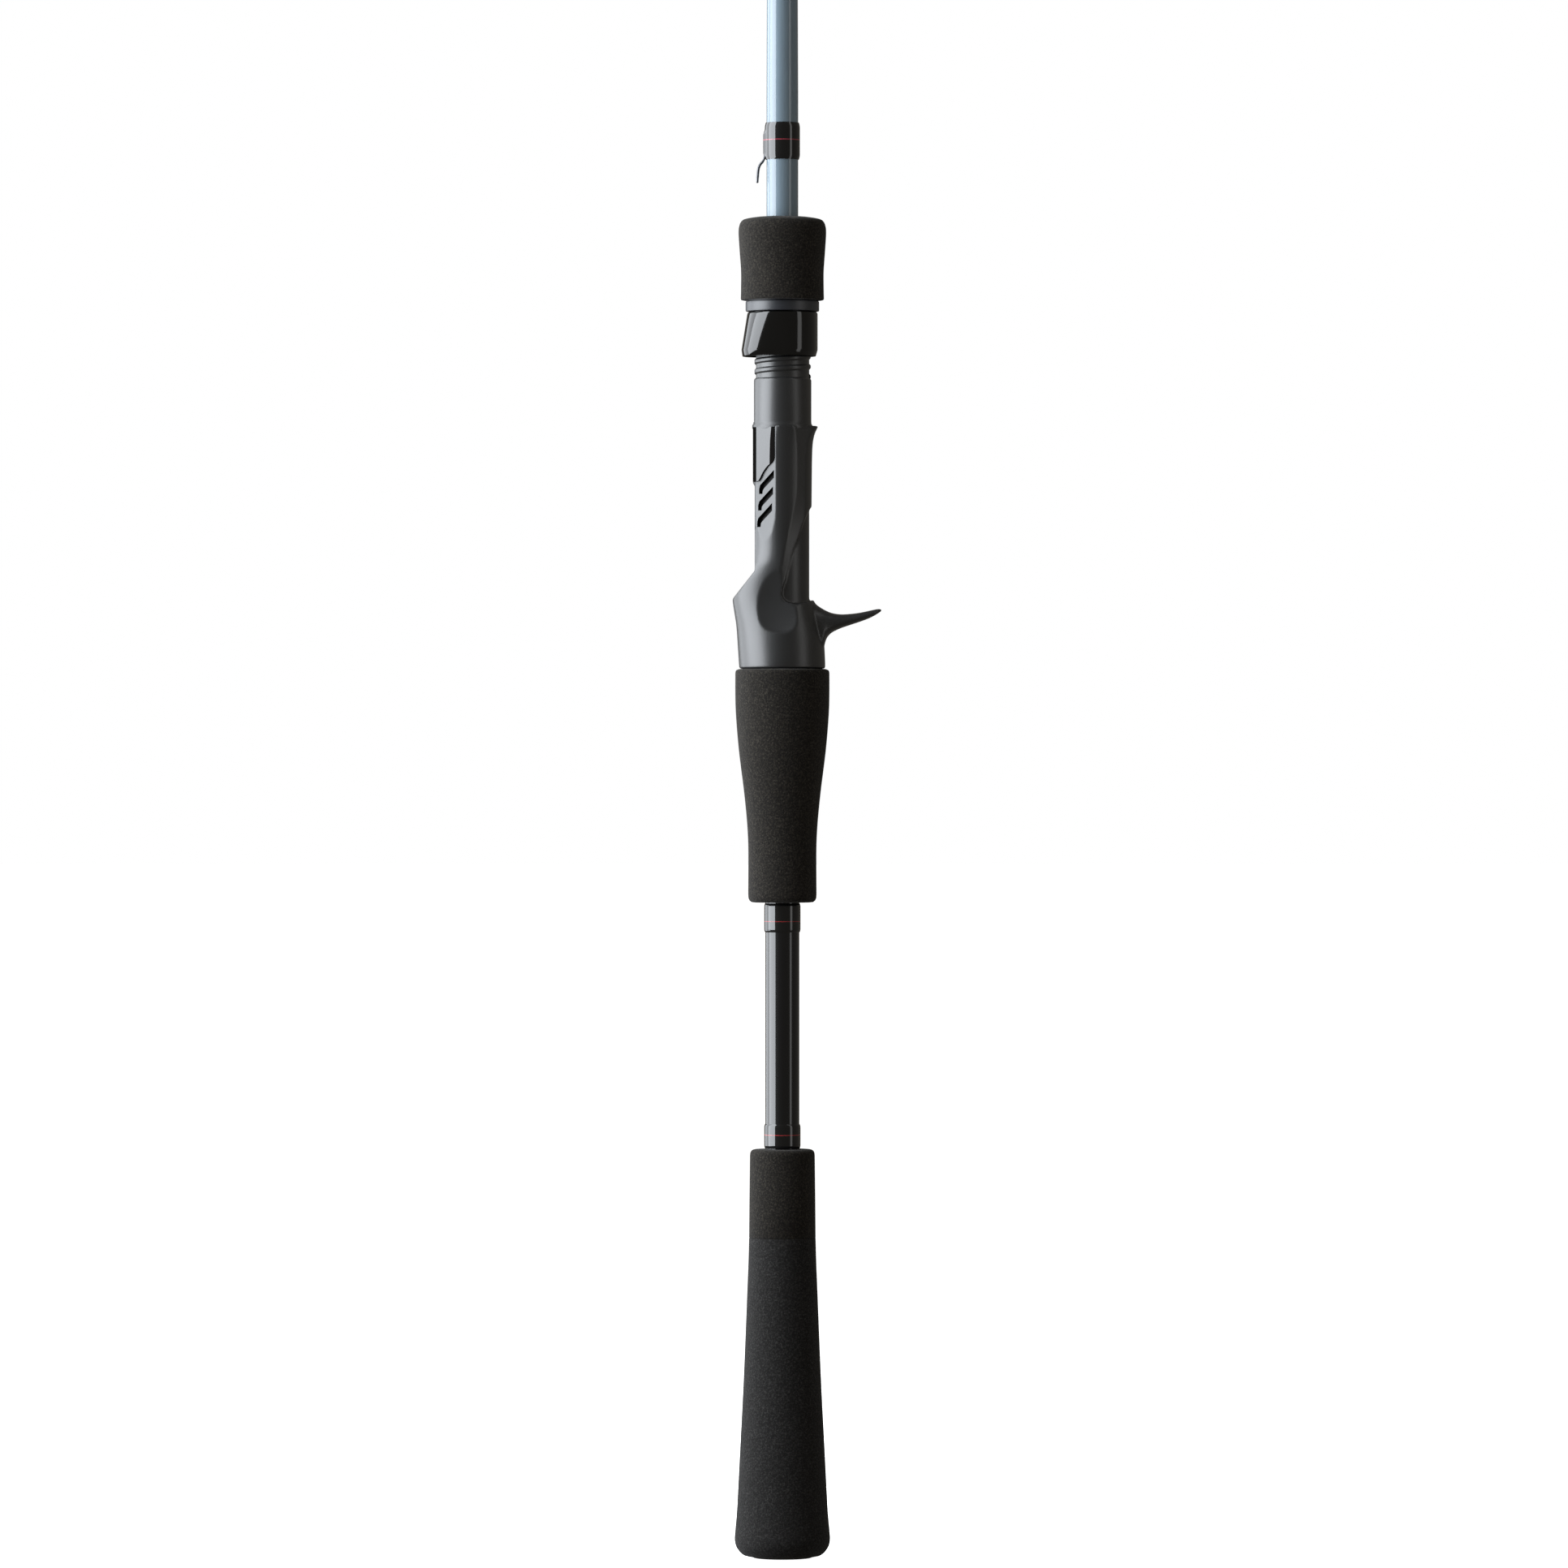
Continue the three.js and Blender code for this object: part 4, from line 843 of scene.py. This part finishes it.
def piano_black(name, shade, roughness, ior=1.5):
    """Polished black plastic: hairline polishing marks under a hard gloss."""
    material, tree = new_material(name)
    here = add_node(tree, "ShaderNodeTexCoord").outputs["Object"]
    streak = add_node(
        tree, "ShaderNodeMapping", {"Vector": here, "Scale": (2500, 2500, 120)})
    marks = add_node(tree, "ShaderNodeTexNoise", {"Vector": streak.outputs[0], "Scale": 1.0})
    rough = add_node(
        tree, "ShaderNodeMapRange",
        {"Value": marks.outputs["Fac"], "To Min": roughness * 0.6, "To Max": roughness * 1.5})
    skin = add_node(
        tree, "ShaderNodeBsdfPrincipled",
        {"Base Color": srgb(shade), "Roughness": rough.outputs[0], "IOR": ior})
    add_node(tree, "ShaderNodeOutputMaterial", {"Surface": skin.outputs[0]})
    return material


# Piano-black acrylic-nylon blend: near-black, mirror gloss.
insert_gloss = piano_black("polished_piano_black", "#070708", 0.06, 1.6)
new_piece("seat_cover_insert", rough_insert, insert_gloss, "rod", ["seat_insert"])

# ---- Moving hood and its liner ----
# A thin drawn metal hood, black anodised and polished, that slides with a keyed nylon liner. It is taller on
# the reel side, where a pocket in the liner takes the front of the reel's foot.
hood_low, hood_high = heights("moving_hood")
HOOD_RADIUS = 13.05
HOOD_WALL = 0.8


def hood_ring(z, off):
    """A level section of the hood, moved in by off."""
    t = (z - hood_low - 2) / (hood_high - hood_low - 2)
    return section(
        z, HOOD_RADIUS + 2.1 - 2.25 * t - off, HOOD_RADIUS - off, HOOD_RADIUS + 0.15 - 0.15 * t - off, 128,
        2.9 - 0.9 * min(1.0, max(0.0, t)))


hood_edge = [(0, 0.75), (0.2, 0.62), (1.9, 0.12), (2.3, 0.01), (2.7, 0), (6, 0), (9, 0), (12, 0)]
hood_shell = loft(
    [hood_ring(hood_low + z, off) for z, off in hood_edge]
    + [hood_ring(hood_high - z, off) for z, off in ((0.7, 0), (0.25, 0.1), (0, 0.4))])
hood_shell = shaped(hood_shell, [
    cut(loft([hood_ring(hood_low - 1, HOOD_WALL), hood_ring(hood_high + 1, HOOD_WALL)])),
])
# Black anodised and polished aluminium under lacquer: hard black gloss.
hood_gloss = piano_black("polished_black_anodised_hood", "#060606", 0.09)
new_piece("hood_shell", hood_shell, hood_gloss, "hood", ["moving_hood"])

liner_low, liner_high = heights("hood_liner")
LINER_BORE = BARREL_RADIUS + 0.3
pocket_top = hood_low + 10
liner = loft([hood_ring(liner_low, HOOD_WALL + 0.3), hood_ring(liner_high, HOOD_WALL + 0.3)])
liner_key = loft([
    [(-(LINER_BORE + 0.5), -1.7, z), (-(LINER_BORE + 0.5), 1.7, z), (-9.6, 1.7, z), (-9.6, -1.7, z)]
    for z in (pocket_top + 0.6, liner_high)
])
liner = shaped(liner, [
    cut(cylinder(LINER_BORE, hood_low - 1, hood_high + 1)),
    cut(prism(
        [(-(HOOD_RADIUS + 0.2), hood_low - 1), (-(HOOD_RADIUS - 1.1), pocket_top), (-5, pocket_top),
         (-5, hood_low - 1)], -6.2, 6.2)),
    add(liner_key),
    ("BEVEL", {"width": 0.15 * MM, "segments": 2, "limit_method": "ANGLE", "angle_limit": 0.9}, None),
])
# Acetal: dark grey, waxy, self-lubricating.
acetal = satin_moulding("moulded_dark_acetal", "#232426", 0.5, 0.0)
new_piece("hood_inner_liner", liner, acetal, "hood", ["hood_liner"])

# ---- Lock nut and foregrip ----
# The nut is a grey nylon moulding with a thrust flange and a long sleeve, threaded inside. The foam foregrip
# is glued on its sleeve and covers the thread; turning the grip drives the hood down the barrel.
nut_low, nut_high = heights("lock_nut")
FLANGE_RADIUS = HOOD_RADIUS + 0.55
SLEEVE_RADIUS = 12.6
NUT_BORE = THREAD_CREST + 0.3
NUT_THREAD_TURNS = 2.8
flange_top = nut_low + 3.9
nut = turn([
    (FLANGE_RADIUS - 0.5, nut_low), (FLANGE_RADIUS - 0.12, nut_low + 0.12), (FLANGE_RADIUS, nut_low + 0.45),
    (FLANGE_RADIUS, flange_top - 0.5), (FLANGE_RADIUS - 0.1, flange_top - 0.2),
    (FLANGE_RADIUS - 0.4, flange_top), (SLEEVE_RADIUS, flange_top), (SLEEVE_RADIUS, nut_high - 0.4),
    (SLEEVE_RADIUS - 0.4, nut_high), (NUT_BORE + 0.4, nut_high), (NUT_BORE, nut_high - 0.4),
    (NUT_BORE, nut_low + 0.4), (NUT_BORE + 0.4, nut_low),
], 96, closed=True)
nut_thread_start = THREAD_START + 0.8 + THREAD_PITCH / 2
nut_thread_start += THREAD_PITCH * math.ceil((nut_low + 1.2 - nut_thread_start) / THREAD_PITCH)
nut = shaped(nut, [add(screw_ridge(
    NUT_BORE + 0.3, THREAD_ROOT + 0.3, 0.8, 0.4, nut_thread_start, NUT_THREAD_TURNS))])
# Slate nylon, mould-textured flange.
slate_nylon = satin_moulding("moulded_slate_nylon", "#1f2228", 0.42, 0.1)
new_piece("nut_moulding", nut, slate_nylon, "nut", ["lock_nut"])

fore_low, fore_high = heights("foregrip")
FORE = reach("foregrip")
fore_line = raised(fore_low, [(FORE - 1.5, 0), (FORE - 1.0, 0.12)]) + curve_through(raised(fore_low, [
    (FORE - 0.82, 0.5), (FORE - 0.9, 4), (FORE - 0.92, 10.5), (FORE - 0.5, 16.8), (FORE - 0.12, 22.3),
    (FORE, 25.2), (FORE - 0.2, 27.2), (FORE - 0.85, 28.9), (FORE - 2.2, 29.9), (FORE - 6, 30.6),
]) + [(BLANK_RADIUS + 1.0, fore_high - 0.05)]) + raised(
    fore_high, [(BLANK_RADIUS + 0.5, -0.12), (BLANK_RADIUS + 0.3, -0.4)])
fore_bore = [
    (BLANK_RADIUS + 0.3, fore_high - 3), (NUT_BORE + 0.4, fore_high - 3), (NUT_BORE + 0.4, nut_high + 0.3),
    (SLEEVE_RADIUS + 0.3, nut_high + 0.3), (SLEEVE_RADIUS + 0.3, fore_low),
]
foam_grip("foregrip_foam", "foregrip", fore_line, fore_bore, grip_foam, "nut")

# ---- Hook keeper ----
# A single bent wire of stainless spring steel whose shank is bound on the blank; its free end hangs down
# clear of the blank and takes a hook.


def sweep(path, radius, sides=16, twist_free=(0, 1, 0)):
    """A round wire along a path in millimetres; radius is one value, or one for each point."""
    pts = [Vector(p) for p in path]
    radii = radius if isinstance(radius, list) else [radius] * len(pts)
    rings = []
    for i, point in enumerate(pts):
        way = (pts[min(i + 1, len(pts) - 1)] - pts[max(i - 1, 0)]).normalized()
        side = Vector(twist_free).cross(way).normalized()
        up = way.cross(side)
        ring = []
        for k in range(sides):
            a = 2 * math.pi * k / sides
            ring.append(tuple(point + (side * math.cos(a) + up * math.sin(a)) * radii[i]))
        rings.append(ring)
    return loft(rings)


keeper_low, keeper_high = heights("keeper_wrap")
KEEPER_WIRE = 0.4
keeper_x = -(BLANK_RADIUS + 0.2 + KEEPER_WIRE)
bend = keeper_low - 516.7
keeper_path = curve_through([
    (0, 527.0), (0, 522.2), (-0.1, 517.9), (-0.45, 516.6), (-1.05, 515.7), (-1.8, 514.8), (-2.36, 513.4),
    (-2.65, 511.2), (-2.8, 508.3),
], 5)
keeper_path = [(keeper_x + x, 0, z + bend) for x, z in keeper_path]
keeper_path.append((keeper_x - 2.8, 0, 508.05 + bend))
keeper_radii = [KEEPER_WIRE * (1.25 if 510 < z - bend < 516.2 else 1.1) for _, _, z in keeper_path[:-1]]
keeper_radii.append(KEEPER_WIRE * 0.7)


def drawn_steel(name, shade, roughness):
    """Stainless steel with fine lengthways marks from drawing and polishing."""
    material, tree = new_material(name)
    here = add_node(tree, "ShaderNodeTexCoord").outputs["Object"]
    grain = add_node(
        tree, "ShaderNodeMapping", {"Vector": here, "Scale": (9000, 9000, 900)})
    marks = add_node(tree, "ShaderNodeTexNoise", {"Vector": grain.outputs[0], "Scale": 1.0})
    rough = add_node(
        tree, "ShaderNodeMapRange",
        {"Value": marks.outputs["Fac"], "To Min": roughness - 0.06, "To Max": roughness + 0.08})
    skin = add_node(
        tree, "ShaderNodeBsdfPrincipled",
        {"Base Color": srgb(shade), "Metallic": 1.0, "Roughness": rough.outputs[0]})
    add_node(tree, "ShaderNodeOutputMaterial", {"Surface": skin.outputs[0]})
    return material


# Drawn stainless spring wire: grey, bright along its highlights.
spring_wire = drawn_steel("drawn_stainless_wire", "#58595c", 0.34)
new_piece(
    "keeper_hook", sweep(keeper_path, keeper_radii), spring_wire, "rod", ["hook_keeper"])

KEEPER_STRIPE = 523.9 + bend
keeper_thread = wound_thread(
    "black_thread_pink_inlay_epoxy", [(KEEPER_STRIPE, 0.15)], pinstripe="#8f3040")
GLUE_LINE = 0.15
EPOXY_TOE = 1.7
FOOT_RAMP = 2.5


def binding(name, z0, z1, wall, hump, material, node):
    """A thread wrap levelled with epoxy over the blank, with the swelling of the foot beneath it."""
    hump_reach, hump_half, hump_low, hump_high = hump
    rings = []
    length = z1 - z0
    for k in range(33):
        t = k / 32
        z = z0 + length * t
        end = min(t, 1 - t) * length
        rise = wall * min(1.0, end / EPOXY_TOE + 0.12) ** 0.6
        core = blank_radius(z) + GLUE_LINE
        over = max(0.0, min(1.0, (z - hump_low) / FOOT_RAMP + 0.5, (hump_high - z) / FOOT_RAMP + 0.5))
        over = over * over * (3 - 2 * over)
        ring = []
        for i in range(64):
            a = 2 * math.pi * (i + 0.5) / 64
            off = math.sin(a) * core
            across = math.exp(-(off / hump_half) ** 4) if math.cos(a) < 0 else 0.0
            r = core + rise + max(0.0, hump_reach - wall) * over * across
            ring.append((r * math.cos(a), r * math.sin(a), z))
        rings.append(ring)
    skin = loft(rings)
    inner = turn(
        [(0, z0 - 1), (blank_radius(z0) + 0.03, z0 - 1), (blank_radius(z1) + 0.03, z1 + 1), (0, z1 + 1)], 64)
    return new_piece(
        name, shaped(skin, [cut(inner)]), material, "rod", [node])


binding(
    "keeper_winding", keeper_low, keeper_high, 0.5, (1.15, 1.3, keeper_low + 1.5, keeper_high - 3.5),
    keeper_thread, "keeper_wrap")

# ---- Line guides ----
# Each guide is stamped from stainless sheet: a ring holder on two legs that run into a ground foot. A
# polished ceramic ring is pressed in it, and thread and epoxy bind each foot to the blank.
ROD_LENGTH = 1830.0
FOOT_LENGTH = 13.0
FOOT_THICKNESS = 0.7
FOOT_GAP = 0.2
RING_TILT = 0.1
RING_WALL = 1.0
HOLDER_INNER = 1.1
HOLDER_OUTER = 1.9
LEG_LEAN = 0.35
LEG_WIRE = 0.62
# Each guide's place as a share of the rod's length, its ring's bore and its number of feet.
GUIDES = [
    (0.4427, 6.0, 2), (0.5437, 5.0, 2), (0.6366, 4.3, 1), (0.7186, 3.8, 1),
    (0.7896, 3.5, 1), (0.8525, 3.3, 1), (0.9071, 3.2, 1), (0.9563, 3.2, 1),
]


def tilted_ring(outline, x, z, tilt, steps=64):
    """A closed ring of (radius, height) about an axis that leans from the rod's by tilt, at (x, z)."""
    bm = turn(outline, steps, closed=True)
    bmesh.ops.rotate(bm, matrix=Matrix.Rotation(tilt, 3, "Y"), verts=bm.verts)
    bmesh.ops.translate(bm, vec=(x * MM, 0, z * MM), verts=bm.verts)
    return bm


def ring_outline(bore):
    """The rounded section of a ceramic ring."""
    outer = bore + RING_WALL
    half = [(bore + 0.03, 0.22), (bore + 0.1, 0.45), (bore + 0.28, 0.64), (bore + 0.5, 0.7),
            (outer - 0.22, 0.64), (outer - 0.06, 0.45), (outer, 0.2)]
    return [(r, -z) for r, z in half] + half[::-1] + [(bore, 0)]


def holder_outline(bore):
    """The rounded section of the stamped ring holder."""
    inner = bore + HOLDER_INNER
    outer = bore + HOLDER_OUTER
    half = [(inner, 0.45), (inner + 0.1, 0.55), (outer - 0.2, 0.55), (outer - 0.03, 0.4)]
    return [(r, -z) for r, z in half] + [(outer, 0)] + half[::-1]


# Smoked polished stainless steel of the stamped frames.
smoked_steel = drawn_steel("stamped_smoked_stainless", "#6c6e72", 0.22)
# Sintered alumina, diamond polished: near-black, glassy.
alumina = piano_black("polished_alumina_ceramic", "#15161a", 0.08)
guide_thread = wound_thread("black_guide_thread_epoxy", [])


def foot_skin(z0, z1, half):
    """A tapered foot ground thin at its tip, from the frame at z0 to its tip at z1."""
    rings = []
    for k in range(9):
        t = k / 8
        z = z0 + (z1 - z0) * t
        w = half * (1 - 0.4 * t) * (1.0 if k < 8 else 0.7)
        base = -(blank_radius(min(z0, z1)) + FOOT_GAP)
        top = base - FOOT_THICKNESS * (1 - 0.45 * t) * (1.0 if k < 8 else 0.6)
        rings.append([
            (base, -w, z), (base, w, z), ((base + top) / 2, w * 0.98, z), (top + 0.1, w * 0.86, z),
            (top, w * 0.6, z), (top, -w * 0.6, z), (top + 0.1, -w * 0.86, z),
            ((base + top) / 2, -w * 0.98, z),
        ])
    return loft(rings)


def guide_leg(top, foot, side, dir_z):
    """One leg: leaves the holder along its rim, bows out and flattens into the foot."""
    middle = [(a + b) / 2 for a, b in zip(top, foot)]
    path = curve_through([
        top, (middle[0] + 0.2, middle[1] + side * 0.35, middle[2] - dir_z * 0.3),
        foot, (foot[0], foot[1], foot[2] + dir_z * 1.5),
    ], 6)
    return sweep(path, LEG_WIRE, 12)


for number, (share, bore, feet) in enumerate(GUIDES, 1):
    z = share * ROD_LENGTH
    holder_outer = bore + HOLDER_OUTER
    x = -(blank_radius(z) + holder_outer + 1.2 + bore * 0.35)
    foot_half = min(1.5, 0.75 + blank_radius(z) * 0.15)
    rim = holder_outer - 0.35
    parts = []
    for way in ((1, -1) if feet == 2 else (1,)):
        start = z + way * (holder_outer * 0.55 + 1)
        end = start + way * FOOT_LENGTH
        parts.append(add(foot_skin(start, end, foot_half)))
        for side in (-1, 1):
            inward = rim * math.sin(LEG_LEAN)
            top = (x + inward, side * rim * math.cos(LEG_LEAN), z + RING_TILT * inward)
            foot = (-(blank_radius(min(start, end)) + FOOT_GAP + FOOT_THICKNESS * 0.5),
                    side * foot_half * 0.45, start + way * 0.6)
            parts.append(add(guide_leg(top, foot, side, way)))
        suffix = "" if feet == 1 else ("_front" if way > 0 else "_rear")
        wrap_low, wrap_high = heights(f"guide_{number}_wrap{suffix}")
        span = (wrap_low + 1.2, end - 1.2) if way > 0 else (end + 1.2, wrap_high - 1.2)
        binding(
            f"guide_{number}_winding{suffix}", wrap_low, wrap_high, 0.42,
            (FOOT_THICKNESS + 0.35, foot_half, *span), guide_thread,
            f"guide_{number}_wrap{suffix}")
    stamped = shaped(tilted_ring(holder_outline(bore), x, z, -RING_TILT), parts)
    new_piece(
        f"guide_{number}_stamping", stamped, smoked_steel, "rod",
        [f"guide_{number}_frame"])
    new_piece(
        f"guide_{number}_ceramic", tilted_ring(ring_outline(bore), x, z, -RING_TILT), alumina, "rod",
        [f"guide_{number}_ring"])

# ---- Tip top ----
# A drawn steel tube cemented on the blank's end carries the last ring on a post and two braces.
tip_bore = 3.2
tip_tilt = -0.2
tube_inner = blank_radius(ROD_LENGTH - 30) + 0.2
tube_outer = tube_inner + 0.5
tube_bottom = ROD_LENGTH - 28
tube_top = ROD_LENGTH - 9
tip_x = -(tip_bore + HOLDER_OUTER + 0.6)
tip_z = ROD_LENGTH - 1.6
tip_rim = tip_bore + 1.6
tip_tube = turn([
    (0, tube_bottom), (tube_outer - 0.15, tube_bottom), (tube_outer, tube_bottom + 0.3),
    (tube_outer, tube_top - 1.2), (tube_outer - 0.3, tube_top - 0.4), (tube_outer - 0.9, tube_top),
    (0, tube_top),
], 48)
post_end = (tip_x + tip_rim * math.cos(tip_tilt), 0, tip_z - tip_rim * math.sin(tip_tilt))
tip_parts = [
    add(tilted_ring(holder_outline(tip_bore), tip_x, tip_z, tip_tilt)),
    add(sweep(
        curve_through([(0, 0, tube_top - 2), (-0.1, 0, tube_top + 1.5), post_end], 6), 0.6, 12)),
]
for side in (-1, 1):
    brace = curve_through([
        (-tube_outer + 0.35, side * 0.4, tube_top - 6), (tip_x * 0.45, side * tip_rim * 0.62, tube_top - 1.0),
        (tip_x, side * tip_rim, tip_z),
    ], 8)
    tip_parts.append(add(sweep(brace, 0.6, 12, (1, 0, 0.3))))
tip_parts.append(cut(cylinder(tube_inner, tube_bottom - 1, blank_high + 0.5, 48)))
new_piece(
    "tip_top_brazing", shaped(tip_tube, tip_parts), smoked_steel, "rod", ["tip_top_frame"])
new_piece(
    "tip_top_ceramic", tilted_ring(ring_outline(tip_bore), tip_x, tip_z, tip_tilt), alumina, "rod",
    ["tip_top_ring"])
tip_low, tip_high = heights("tip_top_wrap")
tip_inner = blank_radius(tip_low) + 0.05
new_piece(
    "tip_top_winding", domed_ring(tip_low, tip_high, tip_inner, tip_inner + 0.5, 0.6, 64), guide_thread,
    "rod", ["tip_top_wrap"])
